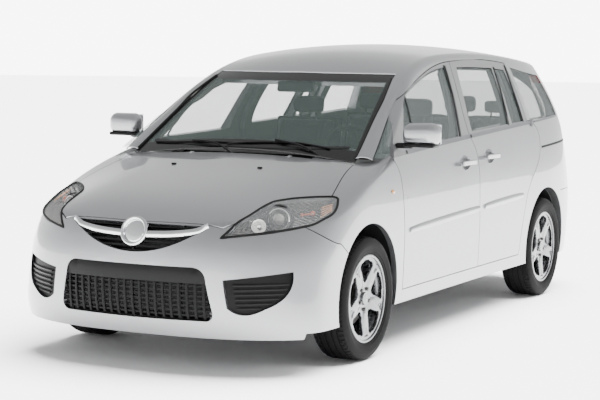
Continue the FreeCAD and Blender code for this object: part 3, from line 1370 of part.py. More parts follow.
keep("front_knuckle_left", knuckle())
keep("front_knuckle_right", mirrored(knuckle()))


def rear_axle():
    """Twist-beam axle with its trailing arms, stub axles and springs."""
    face = WHEEL_X + S.wheel_offset
    inner = WHEEL_X - S.tyre_width / 2 - S.shut_gap - S.arm_width
    centre = Vector(0, REAR_AXLE, AXLE_Z)
    stub = cylinder(centre + X_AXIS * inner, centre + X_AXIS * (face + S.rim_drop), S.stub_radius)
    arm = block(inner, inner + S.arm_width, KICK_Y + S.floor_thickness + S.seal_gap,
                REAR_AXLE + S.arm_width, AXLE_Z - S.arm_width / 2, AXLE_Z + S.arm_width / 2)
    spring_foot = Vector(inner - S.spring_radius * 1.6, REAR_AXLE - S.beam_forward / 3, AXLE_Z)
    under_floor = S.load_floor_top - S.floor_thickness - S.seal_gap
    spring = cylinder(spring_foot, Vector(spring_foot.x, spring_foot.y, under_floor), S.spring_radius)
    beam = cylinder(Vector(-inner, REAR_AXLE - S.beam_forward, AXLE_Z),
                    Vector(inner, REAR_AXLE - S.beam_forward, AXLE_Z), S.beam_radius)
    seat = block(spring_foot.x - S.spring_radius, inner + S.arm_width / 2,
                 spring_foot.y - S.spring_radius, spring_foot.y + S.spring_radius,
                 AXLE_Z - S.arm_width / 4, AXLE_Z + S.arm_width / 4)
    return fused(beam, *[half for piece in (stub, arm, spring, seat) for half in (piece, mirrored(piece))])


keep("rear_axle", rear_axle())


MIRROR_ARM_SHARES = (0.72, 0.2)


def door_mirror():
    """Rounded housing with an open glass face, on an arm from the door's skin."""
    half_length = S.mirror_length / 2
    half_height = S.mirror_height / 2
    back = FRONT_AXLE + S.mirror_back
    low = S.mirror_z - half_height
    shell = block(S.mirror_x - half_length, S.mirror_x + half_length, back - S.mirror_depth, back,
                  low, S.mirror_z + half_height)
    ahead = [e for e in shell.Edges if e.BoundBox.YMin < back - S.seal_gap]
    shell = shell.makeFillet(S.mirror_rounding, ahead)
    face = block(S.mirror_x - half_length + S.mirror_wall, S.mirror_x + half_length - S.mirror_wall,
                 back - S.mirror_wall, back, low + S.mirror_wall, S.mirror_z + half_height - S.mirror_wall)
    arm = block(S.mirror_x - S.mirror_length, S.mirror_x, back - S.mirror_depth * MIRROR_ARM_SHARES[0],
                back - S.mirror_depth * MIRROR_ARM_SHARES[1], low - S.mirror_wall,
                low + S.mirror_rounding)
    arm = biggest(arm.cut(cabin_out))
    return biggest(fused(biggest(shell), arm).cut(face))


keep("door_mirror_left", door_mirror())
keep("door_mirror_right", mirrored(door_mirror()))


# Seat in side view: the cushion's rear end and the back's two upper corners, as shares of the
# cushion's length and of the back's height; then the foot of the back, pedestal and headrest
SEAT_SIDE_SHARES = [(0.86, -0.049), (1.21, 0.94), (1.38, 0.92)]
BACK_FOOT_SHARE = 1.10
PEDESTAL_SHARES = (0.12, 0.72)
HEADREST_DEPTH_SHARES = (1.22, 1.40)
HEADREST_HEIGHT_SHARES = (0.90, 1.12)
# Rear rows against the front seats: place across the car, width, and height of the third row
REAR_ROW_SHARES = (0.85, 0.9)
THIRD_ROW_SHARE = 0.8


def seat_row(front_y, places, width, floor, height_share):
    """Seats side by side: pedestal, cushion, raked back and headrest."""
    y = FRONT_AXLE + front_y
    depth = S.seat_length
    top = floor + S.seat_height * height_share
    back = S.back_height * height_share
    corners = [Vector(0, y, top - S.back_thickness), Vector(0, y, top)]
    corners += [Vector(0, y + depth * a, top + back * b) for a, b in SEAT_SIDE_SHARES]
    corners.append(Vector(0, y + depth * BACK_FOOT_SHARE, top - S.back_thickness))
    side = [[here, after] for here, after in zip(corners, corners[1:] + corners[:1])]
    foot_front, foot_rear = [y + depth * share for share in PEDESTAL_SHARES]
    head_front, head_rear = [y + depth * share for share in HEADREST_DEPTH_SHARES]
    head_low, head_high = [top + back * share for share in HEADREST_HEIGHT_SHARES]
    solids = []
    for x in places:
        frame = side_prism(side, x - width / 2, x + width / 2)
        pedestal = block(x - width / 4, x + width / 4, foot_front, foot_rear,
                         floor + S.seal_gap, top - S.back_thickness)
        head = block(x - S.headrest_width / 2, x + S.headrest_width / 2, head_front, head_rear,
                     head_low, head_high)
        solids.append(fused(frame, pedestal, head))
    return Part.makeCompound(solids)


inboard = S.seat_x * REAR_ROW_SHARES[0]
rear_width = S.seat_width * REAR_ROW_SHARES[1]
keep("front_seats", seat_row(S.front_seat_y, (-S.seat_x, S.seat_x), S.seat_width, S.floor_top, 1.0))
keep("second_row_seats", seat_row(S.second_row_y, (-inboard, inboard), rear_width, S.floor_top, 1.0))
keep("third_row_seats", seat_row(S.third_row_y, (-inboard, inboard), rear_width, S.load_floor_top,
                                 THIRD_ROW_SHARE))

tank = block(-S.tank_width / 2, S.tank_width / 2, KICK_Y - S.overrun - S.tank_length, KICK_Y - S.overrun,
             S.floor_top - S.floor_thickness - S.seal_gap - S.tank_height,
             S.floor_top - S.floor_thickness - S.seal_gap)
keep("fuel_tank", tank)


def exhaust():
    """Pipe from the engine under the floor to the silencer behind the rear axle, hung from the floor."""
    start = Vector(-S.pipe_x, FRONT_AXLE + S.overrun * 4, S.pipe_height)
    end = Vector(-S.pipe_x, TAIL - REAR_OVERHANG * 0.3, S.pipe_height)
    pipe = cylinder(start, end, S.pipe_radius)
    silencer_end = end - Y_AXIS * S.overrun
    silencer = cylinder(silencer_end - Y_AXIS * S.silencer_length, silencer_end, S.silencer_radius)
    hanger = block(-S.pipe_x - S.arm_width / 4, -S.pipe_x + S.arm_width / 4,
                   silencer_end.y - S.silencer_length / 2, silencer_end.y - S.silencer_length / 3,
                   S.pipe_height, S.load_floor_top - S.floor_thickness - S.seal_gap)
    front_hanger = block(-S.pipe_x - S.arm_width / 4, -S.pipe_x + S.arm_width / 4, -S.overrun, 0,
                         S.pipe_height, S.floor_top - S.floor_thickness - S.seal_gap)
    return fused(pipe, silencer, hanger, front_hanger)


keep("exhaust", exhaust())

dash = block(-ACROSS, ACROSS, FRONT_AXLE + S.dash_back - S.dash_depth, FRONT_AXLE + S.dash_back,
             S.dash_top - S.dash_height, S.dash_top)
dash = biggest(dash.common(cabin_form(*[d + S.shut_gap for d in inner_depths])))
bulkhead_room = block(-ACROSS, ACROSS, 2 * NOSE, BULKHEAD_Y + S.seal_gap, 0, S.body_height)
column_place = Placement(Vector(S.seat_x, FRONT_AXLE + S.steering_y, S.steering_z),
                         Rotation(X_AXIS, S.steering_rake - QUARTER_TURN))
column_bore = Part.makeCylinder(S.column_radius + S.running_clearance, S.dash_depth,
                                Vector(0, 0, -S.dash_depth))
column_bore.Placement = column_place
keep("dashboard", biggest(dash.cut([bulkhead_room, column_bore])))


def steering_wheel():
    ring = Part.makeTorus(S.wheel_rim_radius, S.wheel_grip_radius)
    boss = Part.makeCylinder(S.hub_radius, S.overrun / 2, Vector(0, 0, -S.overrun / 4))
    spokes = [block(-S.wheel_rim_radius, S.wheel_rim_radius, -S.column_radius, S.column_radius,
                    -S.wheel_grip_radius / 2, S.wheel_grip_radius / 2),
              block(-S.column_radius, S.column_radius, -S.wheel_rim_radius, 0,
                    -S.wheel_grip_radius / 2, S.wheel_grip_radius / 2)]
    column = Part.makeCylinder(S.column_radius, S.dash_depth * 0.7, Vector(0, 0, -S.dash_depth * 0.7))
    return fused(ring, boss, column, *spokes)


wheel = steering_wheel()
wheel.Placement = column_place
keep("steering_wheel", wheel)

doc.recompute()
os.makedirs("parts", exist_ok=True)
for name, item in PARTS.items():
    if "Invalid" in item.State or "Error" in item.State:
        raise ValueError(f"{name} did not build")
    if item.Shape.isNull() or not item.Shape.isValid():
        raise ValueError(f"{name} is not a valid solid")
    item.Shape.exportStep(f"parts/{name}.step")
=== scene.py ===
import math

import bmesh
import bpy
from mathutils import Matrix, Vector
from mathutils.bvhtree import BVHTree


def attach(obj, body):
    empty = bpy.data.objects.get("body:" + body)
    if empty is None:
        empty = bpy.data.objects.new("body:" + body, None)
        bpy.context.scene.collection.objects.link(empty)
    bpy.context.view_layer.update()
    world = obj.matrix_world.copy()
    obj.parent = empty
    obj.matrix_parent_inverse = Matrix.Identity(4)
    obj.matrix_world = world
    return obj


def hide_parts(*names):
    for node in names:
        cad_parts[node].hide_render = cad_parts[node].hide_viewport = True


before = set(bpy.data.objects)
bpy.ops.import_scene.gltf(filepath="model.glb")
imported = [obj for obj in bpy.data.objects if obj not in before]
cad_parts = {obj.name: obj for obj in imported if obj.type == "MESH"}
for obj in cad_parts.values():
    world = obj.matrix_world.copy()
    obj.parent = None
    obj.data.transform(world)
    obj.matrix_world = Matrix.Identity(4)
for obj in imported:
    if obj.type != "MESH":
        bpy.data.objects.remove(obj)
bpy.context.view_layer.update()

LEFT, RIGHT = 1, -1
X_AXIS, Y_AXIS, Z_AXIS = Vector((1, 0, 0)), Vector((0, 1, 0)), Vector((0, 0, 1))

# The camera stands where the photograph was taken.
CAMERA_PLACE = Vector((4.531, -9.501, 1.618))
CAMERA_YAW = math.radians(116.66)
CAMERA_PITCH = math.radians(-5.12)
CAMERA_ROLL = math.radians(0.757)
CAMERA_LENS = 105.3

WHEEL_RADIUS = 0.3185
WHEEL_X = 0.765
AXLES = {"front": -1.390, "rear": 1.360}


# Shader maths

class Level:
    """A number that changes over a surface; + - * / on it add Math nodes."""

    def __init__(self, finish, socket):
        self.finish = finish
        self.socket = socket

    def _math(self, operation, *values):
        return self.finish.add("ShaderNodeMath", {"operation": operation}, values)

    def __add__(self, other):
        return self._math("ADD", self, other)

    def __radd__(self, other):
        return self._math("ADD", other, self)

    def __sub__(self, other):
        return self._math("SUBTRACT", self, other)

    def __rsub__(self, other):
        return self._math("SUBTRACT", other, self)

    def __mul__(self, other):
        return self._math("MULTIPLY", self, other)

    def __rmul__(self, other):
        return self._math("MULTIPLY", other, self)

    def __truediv__(self, other):
        return self._math("DIVIDE", self, other)

    def __abs__(self):
        return self._math("ABSOLUTE", self)

    def above(self, edge, soft=0.002):
        """1 where this is past the edge, 0 before it, with a soft step between."""
        return self.finish.add("ShaderNodeMapRange", {"interpolation_type": "SMOOTHSTEP"},
                               {"Value": self - edge, "From Min": -soft, "From Max": soft})

    def below(self, edge, soft=0.002):
        return 1 - self.above(edge, soft)

    def either(self, other):
        return self._math("MAXIMUM", self, other)

    def sine(self):
        return self._math("SINE", self)


class Finish:
    """One material: a Principled shader with the nodes that vary it."""

    def __init__(self, name, color, roughness, metallic=0.0, **fixed):
        self.material = bpy.data.materials.new(name)
        self.material.use_nodes = True
        self.tree = self.material.node_tree
        self.shader = self.tree.nodes["Principled BSDF"]
        self.fix(**{"Base Color": (*color, 1), "Roughness": roughness, "Metallic": metallic})
        self.fix(**{key.replace("_", " "): value for key, value in fixed.items()})
        place = self.tree.nodes.new("ShaderNodeTexCoord")
        self.object_place = place.outputs["Object"]

    def fix(self, **values):
        for socket, value in values.items():
            self.shader.inputs[socket].default_value = value

    def add(self, kind, settings, values):
        """A node with its settings, then the values or links of its sockets; returns its output."""
        node = self.tree.nodes.new(kind)
        for key, value in settings.items():
            setattr(node, key, value)
        pairs = values.items() if isinstance(values, dict) else enumerate(values)
        for key, value in pairs:
            socket = node.inputs[key]
            if isinstance(value, Level):
                self.tree.links.new(value.socket, socket)
            elif isinstance(value, bpy.types.NodeSocket):
                self.tree.links.new(value, socket)
            else:
                socket.default_value = value
        shown = [out for out in node.outputs if out.enabled]
        return Level(self, shown[0])

    def axes(self):
        split = self.tree.nodes.new("ShaderNodeSeparateXYZ")
        self.tree.links.new(self.object_place, split.inputs[0])
        return [Level(self, split.outputs[i]) for i in range(3)]

    def facing(self):
        shape = self.tree.nodes.new("ShaderNodeNewGeometry")
        split = self.tree.nodes.new("ShaderNodeSeparateXYZ")
        self.tree.links.new(shape.outputs["Normal"], split.inputs[0])
        return [Level(self, split.outputs[i]) for i in range(3)]

    def noise(self, scale, detail=2.0, stretch=None):
        place = self.object_place
        if stretch:
            mapping = self.tree.nodes.new("ShaderNodeMapping")
            self.tree.links.new(place, mapping.inputs["Vector"])
            mapping.inputs["Scale"].default_value = stretch
            place = mapping.outputs["Vector"]
        return self.add("ShaderNodeTexNoise", {}, {"Vector": place, "Scale": scale, "Detail": detail})

    def mix(self, share, first, second):
        """A colour between two colours."""
        node = self.tree.nodes.new("ShaderNodeMix")
        node.data_type = "RGBA"
        for socket, value in (("Factor", share), ("A", first), ("B", second)):
            target = [i for i in node.inputs if i.name == socket and i.enabled][0]
            if isinstance(value, Level):
                self.tree.links.new(value.socket, target)
            elif isinstance(value, (tuple, list)):
                target.default_value = (*value, 1)
            else:
                target.default_value = value
        return Level(self, [out for out in node.outputs if out.enabled][0])

    def feed(self, name, level):
        self.tree.links.new(level.socket, self.shader.inputs[name])

    def color(self, level):
        self.feed("Base Color", level)

    def rough(self, level):
        self.feed("Roughness", level)

    def bump(self, height, depth, strength=1.0):
        self.feed("Normal", self.add("ShaderNodeBump", {}, {"Height": height, "Distance": depth,
                                                            "Strength": strength}))

    def clouded(self, scale, dark, light):
        """Gives the finish a soft cloud of two colours; returns its material."""
        self.color(self.mix(self.noise(scale, 2), dark, light))
        return self.material


# Finishes of the car

SILVER = (0.29, 0.294, 0.302)
FLAKE_DARK = (0.25, 0.254, 0.262)
FLAKE_LIGHT = (0.32, 0.325, 0.335)
FLAKE_SCALE = 2600
PAINT_METAL = 0.92
FRAME_GREY = (0.055, 0.056, 0.058)
TRIM_DARK = (0.10, 0.105, 0.10)
TRIM_LIGHT = (0.16, 0.165, 0.155)
BLACK = (0.004, 0.004, 0.0042)
# Panels above this height are lined on their underside.
CEILING_HEIGHT = 1.2


def silver_paint(name, lined=True, frames=False):
    """Metallic paint under clear coat; the inside of a panel is lined with grey trim."""
    paint = Finish(name, SILVER, 0.30, PAINT_METAL, Coat_Weight=1.0, Coat_Roughness=0.025)
    x, y, z = paint.axes()
    flakes = paint.noise(FLAKE_SCALE, 1)
    cloud = paint.noise(3.0, 3)
    color = paint.mix(flakes * 0.55 + cloud * 0.2, FLAKE_DARK, FLAKE_LIGHT)
    rough = 0.27 + flakes * 0.10
    metallic = PAINT_METAL
    if frames:
        above_belt = z.above(1.058 + (y + 0.149) * 0.049, 0.0015)
        color = paint.mix(above_belt, color, FRAME_GREY)
        rough = rough * (1 - above_belt) + above_belt * 0.42
        metallic = PAINT_METAL - above_belt * 0.62
    if lined:
        sideways, _, upward = paint.facing()
        side = x.above(0, 0.05) * 2 - 1
        inward = (sideways * side * -1).above(0.35, 0.1)
        downward = (upward * -1).above(0.5, 0.1) * z.above(CEILING_HEIGHT)
        lining = inward.either(downward)
        weave = paint.noise(900, 2)
        color = paint.mix(lining, color, paint.mix(weave, TRIM_DARK, TRIM_LIGHT))
        rough = rough * (1 - lining) + lining * 0.85
        metallic = metallic * (1 - lining)
        paint.feed("Coat Weight", 1 - lining)
    if frames or lined:
        paint.feed("Metallic", metallic)
    paint.color(color)
    paint.rough(rough)
    paint.bump(flakes, 0.00002, 0.25)
    return paint.material


def black_moulding(name, color=BLACK, roughness=0.5, grain=1400):
    plastic = Finish(name, color, roughness, Specular_IOR_Level=0.10)
    speckle = plastic.noise(grain, 2)
    wear = plastic.noise(6, 4)
    light = tuple(c * 1.8 + 0.001 for c in color)
    plastic.color(plastic.mix(wear * 0.6 + speckle * 0.2, color, light))
    plastic.rough(roughness - 0.08 + wear * 0.16)
    plastic.bump(speckle, 0.00012, 0.5)
    return plastic.material


def metal_finish(name, color, roughness, metallic=1.0, grain=60, stretch=None, **fixed):
    metal = Finish(name, color, roughness, metallic, **fixed)
    streak = metal.noise(grain, 3, stretch)
    dark = tuple(c * 0.82 for c in color)
    metal.color(metal.mix(streak, dark, color))
    metal.rough(roughness * 0.8 + streak * roughness * 0.4)
    return metal


def glass_finish(name, tint, alpha, roughness=0.02, **fixed):
    return Finish(name, tint, roughness, 0.0, Alpha=alpha, **fixed)


# Shapes

MERGE = 0.00005
CURVE_STEPS = 16


def mesh_of(name, bm):
    """A mesh from a bmesh, which is freed."""
    mesh = bpy.data.meshes.new(name)
    bm.to_mesh(mesh)
    bm.free()
    return mesh


def bmesh_of(mesh):
    bm = bmesh.new()
    bm.from_mesh(mesh)
    return bm


def in_scene(name, data):
    obj = bpy.data.objects.new(name, data)
    bpy.context.scene.collection.objects.link(obj)
    return obj


def with_modifiers(obj):
    """The mesh that an object's modifiers make."""
    return bpy.data.meshes.new_from_object(obj.evaluated_get(bpy.context.evaluated_depsgraph_get()))


def new_piece(name, bm, finish, body, sharp=35.0, slot=None, stands_for=()):
    """Turns a finished bmesh into a piece of the car that rides on one of its bodies."""
    bmesh.ops.recalc_face_normals(bm, faces=bm.faces[:])
    limit = math.radians(sharp)
    for face in bm.faces:
        face.smooth = True
    for edge in bm.edges:
        edge.smooth = len(edge.link_faces) != 2 or edge.calc_face_angle() < limit
    mesh = mesh_of(name, bm)
    mesh.materials.append(finish)
    obj = in_scene(name, mesh)
    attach(obj, body)
    if stands_for:
        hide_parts(*stands_for)
    return obj


def flipped(bm):
    """A copy of a bmesh on the other side of the car."""
    other = bm.copy()
    bmesh.ops.scale(other, vec=(-1, 1, 1), verts=other.verts[:])
    bmesh.ops.reverse_faces(other, faces=other.faces[:])
    return other


def pair(name, bm, finish, bodies, **rest):
    """The same piece on the car's left and, mirrored, on its right."""
    other = flipped(bm)
    left = new_piece(name + "_left", bm, finish, bodies[0], **rest)
    right = new_piece(name + "_right", other, finish, bodies[1], **rest)
    return left, right


def skin_of(*nodes):
    """The surface of some CAD nodes, for finding places on it."""
    places, faces = [], []
    for node in nodes:
        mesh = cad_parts[node].data
        start = len(places)
        places += [v.co.copy() for v in mesh.vertices]
        faces += [[start + i for i in p.vertices] for p in mesh.polygons]
    return BVHTree.FromPolygons(places, faces)


def from_side(skin):
    return lambda y, z: skin.ray_cast(Vector((1.4, y, z)), -X_AXIS)[:2]


def from_front(skin):
    return lambda x, z: skin.ray_cast(Vector((x, -3.2, z)), Y_AXIS)[:2]


def from_top(skin):
    return lambda x, y: skin.ray_cast(Vector((x, y, 2.2)), -Z_AXIS)[:2]


def from_rear(skin):
    return lambda x, z: skin.ray_cast(Vector((x, 3.2, z)), -Y_AXIS)[:2]


def smooth_path(points, count):
    """Evenly spaced points on a smooth line through a few given ones, with its direction."""
    points = [Vector(p).to_3d() if len(p) == 2 else Vector(p) for p in points]
    ends = [2 * points[0] - points[1]] + points + [2 * points[-1] - points[-2]]
    fine = []
    for a, b, c, d in zip(ends, ends[1:], ends[2:], ends[3:]):
        for step in range(CURVE_STEPS):
            t = step / CURVE_STEPS
            fine.append(0.5 * (2 * b + (c - a) * t + (2 * a - 5 * b + 4 * c - d) * t * t
                               + (3 * b - a - 3 * c + d) * t ** 3))
    fine.append(points[-1])
    lengths = [0.0]
    for a, b in zip(fine, fine[1:]):
        lengths.append(lengths[-1] + (b - a).length)
    path, index = [], 0
    for number in range(count + 1):
        wanted = lengths[-1] * number / count
        while index < len(fine) - 2 and lengths[index + 1] < wanted:
            index += 1
        span = max(lengths[index + 1] - lengths[index], 1e-9)
        share = (wanted - lengths[index]) / span
        path.append((fine[index].lerp(fine[index + 1], share), (fine[index + 1] - fine[index]).normalized()))
    return path


def laid_strip(points, width, thickness, place, steps=60, rows=4, lift=0.0, taper=0.0, crown=0.35):
    """A strip that lies on the skin along a path of flat points, crowned across its width."""
    path = smooth_path(points, steps)
    bm = bmesh.new()
    bmesh.ops.create_grid(bm, x_segments=steps, y_segments=rows, size=0.5)
    found = {}
    for vert in sorted(bm.verts, key=lambda v: abs(v.co.x)):
        number = round((vert.co.x + 0.5) * steps)
        share = number / steps
        here, along = path[number]
        narrow = 1 - taper * (2 * share - 1) ** 4
        side = Vector((-along.y, along.x, 0)) * (vert.co.y * width * narrow)
        spot = here + side
        end = (round(vert.co.y * rows * 2), share > 0.5)
        hit, normal = place(spot.x, spot.y)
        if hit is None:
            hit, normal = place(here.x, here.y)
        if hit is None:
            hit, normal = found.get(end, (Vector((0, 0, 0)), Z_AXIS))
        found[end] = hit, normal
        rise = thickness * (1 - crown * (2 * vert.co.y) ** 2)
        vert.co = hit + normal * (rise + lift)
    bmesh.ops.remove_doubles(bm, verts=bm.verts[:], dist=MERGE)
    bmesh.ops.solidify(bm, geom=bm.faces[:], thickness=thickness + 0.001)
    return bm


def tube_along(points, radius, closed=False, sides=8):
    """A round bar along given points."""
    bm = bmesh.new()
    count = len(points)
    rings = []
    for number, here in enumerate(points):
        before = points[number - 1] if number or closed else here
        after = points[(number + 1) % count] if number < count - 1 or closed else here
        along = (after - before).normalized()
        side = along.cross(Z_AXIS if abs(along.z) < 0.9 else X_AXIS).normalized()
        over = side.cross(along)
        turn = Matrix((side, over, along)).transposed().to_4x4()
        ring = bmesh.ops.create_circle(bm, segments=sides, radius=radius,
                                       matrix=Matrix.Translation(here) @ turn)
        rings.append(list({e for v in ring["verts"] for e in v.link_edges}))
    for number in range(count if closed else count - 1):
        bmesh.ops.bridge_loops(bm, edges=rings[number] + rings[(number + 1) % count])
    if not closed:
        for ring in (rings[0], rings[-1]):
            bmesh.ops.edgeloop_fill(bm, edges=ring)
    return bm


def evened(loop, count):
    """A closed outline with its points spaced evenly."""
    lengths = [0.0]
    closed = loop + loop[:1]
    for a, b in zip(closed, closed[1:]):
        lengths.append(lengths[-1] + (b - a).length)
    result, index = [], 0
    for number in range(count):
        wanted = lengths[-1] * number / count
        while lengths[index + 1] < wanted:
            index += 1
        span = max(lengths[index + 1] - lengths[index], 1e-9)
        result.append(closed[index].lerp(closed[index + 1], (wanted - lengths[index]) / span))
    return result


def bevelled(bm, edges, offset, segments, clamp=False):
    bmesh.ops.bevel(bm, geom=edges, offset=offset, offset_type="OFFSET", segments=segments,
                    profile=0.5, affect="EDGES", material=-1, clamp_overlap=clamp)
    return bm


def rounded_box(size, radius, middle, segments=4, turn=None):
    bm = bmesh.new()
    bmesh.ops.create_cube(bm, size=1.0)
    bmesh.ops.scale(bm, vec=size, verts=bm.verts[:])
    return moved(bevelled(bm, bm.edges[:], radius, segments), middle, turn)


def spun(profile, middle, axis=X_AXIS, steps=64, start=Z_AXIS, merge=MERGE):
    """A ring or disc: a profile of (along the axis, radius) turned round the axis."""
    bm = bmesh.new()
    verts = [bm.verts.new(middle + axis * a + start * r) for a, r in profile]
    edges = [bm.edges.new(ends) for ends in zip(verts, verts[1:])]
    bmesh.ops.spin(bm, geom=verts + edges, cent=middle, axis=axis, dvec=(0, 0, 0),
                   angle=2 * math.pi, steps=steps, use_merge=True, use_duplicate=False)
    bmesh.ops.remove_doubles(bm, verts=bm.verts[:], dist=merge)
    return bm


def joined(*parts):
    """Several bmeshes as one."""
    whole = bmesh.new()
    for part in parts:
        mesh = mesh_of("part", part)
        whole.from_mesh(mesh)
        bpy.data.meshes.remove(mesh)
    return whole


def moved(bm, vec=None, turn=None):
    """Turns a bmesh about the origin, then shifts it."""
    if turn:
        bmesh.ops.rotate(bm, cent=(0, 0, 0), matrix=turn, verts=bm.verts[:])
    if vec:
        bmesh.ops.translate(bm, vec=vec, verts=bm.verts[:])
    return bm


# Finishes of the CAD nodes

def paint_nodes(finish, *nodes):
    for node in nodes:
        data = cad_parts[node].data
        data.materials.clear()
        data.materials.append(finish)


body_paint = silver_paint("silver_paint")
door_paint = silver_paint("door_paint", frames=True)
plain_paint = silver_paint("silver_paint_outside", lined=False)
black_plastic = black_moulding("black_plastic")
satin_black = black_moulding("satin_black", (0.005, 0.005, 0.0052), 0.34)
dark_trim = black_moulding("dark_trim", (0.009, 0.009, 0.009), 0.62, 2200)
seal_rubber = black_moulding("seal_rubber", (0.003, 0.003, 0.003), 0.55, 3000)
underbody = black_moulding("underbody_paint", (0.012, 0.012, 0.013), 0.6, 500)
window_grey = black_moulding("window_grey", (0.045, 0.046, 0.048), 0.38, 2600)

chrome = metal_finish("chrome", (0.78, 0.79, 0.80), 0.06, grain=8).material
reflector = metal_finish("lamp_reflector", (0.86, 0.86, 0.84), 0.12, grain=20).material
alloy = metal_finish("wheel_alloy", (0.19, 0.193, 0.20), 0.26, 0.95, grain=14,
                     Coat_Weight=0.3, Coat_Roughness=0.04).material
disc_iron = metal_finish("brake_iron", (0.13, 0.126, 0.122), 0.35, 0.95, 220, (1, 1, 1)).material
black_steel = metal_finish("black_steel", (0.03, 0.03, 0.032), 0.45, 0.4, 40).material
exhaust_steel = metal_finish("exhaust_steel", (0.42, 0.39, 0.36), 0.42, 0.9, 12).material

WINDSHIELD_TINT = (0.03, 0.04, 0.037)
windshield_glass = glass_finish("windshield_glass", WINDSHIELD_TINT, 0.30, 0.02, Specular_IOR_Level=0.3)
side_glass = glass_finish("side_window_glass", (0.06, 0.075, 0.072), 0.22).material
dark_glass = glass_finish("rear_window_glass", (0.03, 0.036, 0.034), 0.50).material
lens = glass_finish("lamp_lens", (0.5, 0.52, 0.53), 0.04, 0.03, Specular_IOR_Level=0.35).material
mirror_glass = metal_finish("mirror_glass", (0.82, 0.84, 0.85), 0.02, grain=2).material


def windshield_finish():
    """Clear glass with a black printed border that ends in a soft edge."""
    x, y, z = windshield_glass.axes()
    reach = 0.652 + (y + 1.19) * -0.155
    side = abs(x).above(reach, 0.006)
    top = z.above(1.402, 0.004)
    low = y.below(-1.105, 0.006)
    border = side.either(top).either(low)
    windshield_glass.color(windshield_glass.mix(border, WINDSHIELD_TINT, (0.003, 0.003, 0.003)))
    windshield_glass.feed("Alpha", 0.30 + border * 0.70)
    windshield_glass.rough(0.015 + border * 0.12)
    return windshield_glass.material


def tail_lamp_finish():
    """Red lens with a pale band for the reversing light; its ribs carry painted shade, darker in their
    grooves.
    """
    red = Finish("tail_lamp", (0.14, 0.004, 0.004), 0.08, Coat_Weight=1.0, Coat_Roughness=0.02)
    z = red.axes()[2]
    band = z.above(1.10) * z.below(1.17)
    ribs = (z * 900).sine()
    # Painted shade: the red is lighter on each rib's crest and darker in its groove.
    red_with_painted_rib_shade = red.mix(ribs * 0.5 + 0.5, (0.11, 0.003, 0.003), (0.16, 0.006, 0.005))
    red.color(red.mix(band, red_with_painted_rib_shade, (0.24, 0.22, 0.21)))
    red.bump(ribs, 0.0005, 0.4)
    return red.material


def lined_floor():
    """Grey carpet on top, dark grey paint below."""
    pan = Finish("floor_pan_finish", (0.05, 0.05, 0.052), 0.8)
    pile = pan.noise(1500, 2)
    top = pan.facing()[2].above(0.2, 0.1)
    carpet = pan.mix(pile, (0.045, 0.046, 0.046), (0.085, 0.085, 0.083))
    pan.color(pan.mix(top, (0.045, 0.045, 0.047), carpet))
    pan.rough(0.55 + top * 0.4)
    pan.bump(pile, 0.001, 0.6)
    return pan.material


def mirror_finish():
    """Silver housing on a black foot."""
    paint = Finish("mirror_paint", SILVER, 0.3, PAINT_METAL, Coat_Weight=1.0, Coat_Roughness=0.025)
    _, y, z = paint.axes()
    foot = z.below(1.083, 0.001)
    back = y.above(-0.8365, 0.0005)
    black = foot.either(back)
    metal = paint.mix(paint.noise(FLAKE_SCALE, 1), FLAKE_DARK, FLAKE_LIGHT)
    paint.color(paint.mix(black, metal, BLACK))
    paint.feed("Metallic", PAINT_METAL * (1 - black))
    paint.rough(0.3 + black * 0.2)
    return paint.material


paint_nodes(body_paint, "body_sides", "roof", "tailgate", "rear_bumper", "door_frames")
paint_nodes(door_paint, "front_door_left", "front_door_right", "sliding_doors")
paint_nodes(plain_paint, "hood", "fenders", "front_bumper")
paint_nodes(mirror_finish(), "door_mirror_left", "door_mirror_right")
paint_nodes(windshield_finish(), "windshield")
paint_nodes(side_glass, "front_door_glass_left", "front_door_glass_right", "side_glass")
paint_nodes(dark_glass, "tailgate_glass")
paint_nodes(lens, "headlamp_lenses")
paint_nodes(tail_lamp_finish(), "tail_lamps")
paint_nodes(black_plastic, "grilles", "fog_lamp_inserts", "cowl_panel", "wheel_arch_liners", "door_seals")
paint_nodes(lined_floor(), "floor_pan")
paint_nodes(black_steel, "front_frame", "rear_axle", "front_knuckle_left", "front_knuckle_right", "engine")
paint_nodes(exhaust_steel, "exhaust")
paint_nodes(underbody, "fuel_tank")
for corner in ("front_left", "front_right", "rear_left", "rear_right"):
    paint_nodes(disc_iron, "brake_disc_" + corner)
    paint_nodes(alloy, "rim_" + corner)
    paint_nodes(seal_rubber, "tyre_" + corner)
paint_nodes(dark_trim, "dashboard", "steering_wheel", "front_seats", "second_row_seats", "third_row_seats")
paint_nodes(reflector, "headlamps")


# Wheels

TREAD_STEPS = 144
GROOVES = (0.052, 0.019)
GROOVE_HALF = 0.0042
TYRE_SIDE = [(0.0800, 0.2165), (0.0845, 0.2290), (0.0860, 0.2312), (0.0890, 0.2330), (0.0940, 0.2440),
             (0.0962, 0.2452), (0.0985, 0.2560), (0.1010, 0.2700), (0.1018, 0.2745), (0.1014, 0.2790),
             (0.0998, 0.2880), (0.0965, 0.2970), (0.0940, 0.3010), (0.0915, 0.3050), (0.0860, 0.3105),
             (0.0800, 0.3138), (0.0740, 0.3152)]
GROOVE_SECTION = [(0, 0.3176), (0.0005, 0.3172), (0.0012, 0.3100)]


def tyre_profile():
    """Section of the tyre from the outer bead round the tread to the inner bead."""
    tread = []
    for middle in GROOVES:
        tread += [(middle + GROOVE_HALF - x, r) for x, r in GROOVE_SECTION]
        tread += [(middle - GROOVE_HALF + x, r) for x, r in reversed(GROOVE_SECTION)]
    outer = TYRE_SIDE + [(0.0690, 0.3168)] + tread
    return outer + [(-x, r) for x, r in reversed(outer)] + outer[:1]


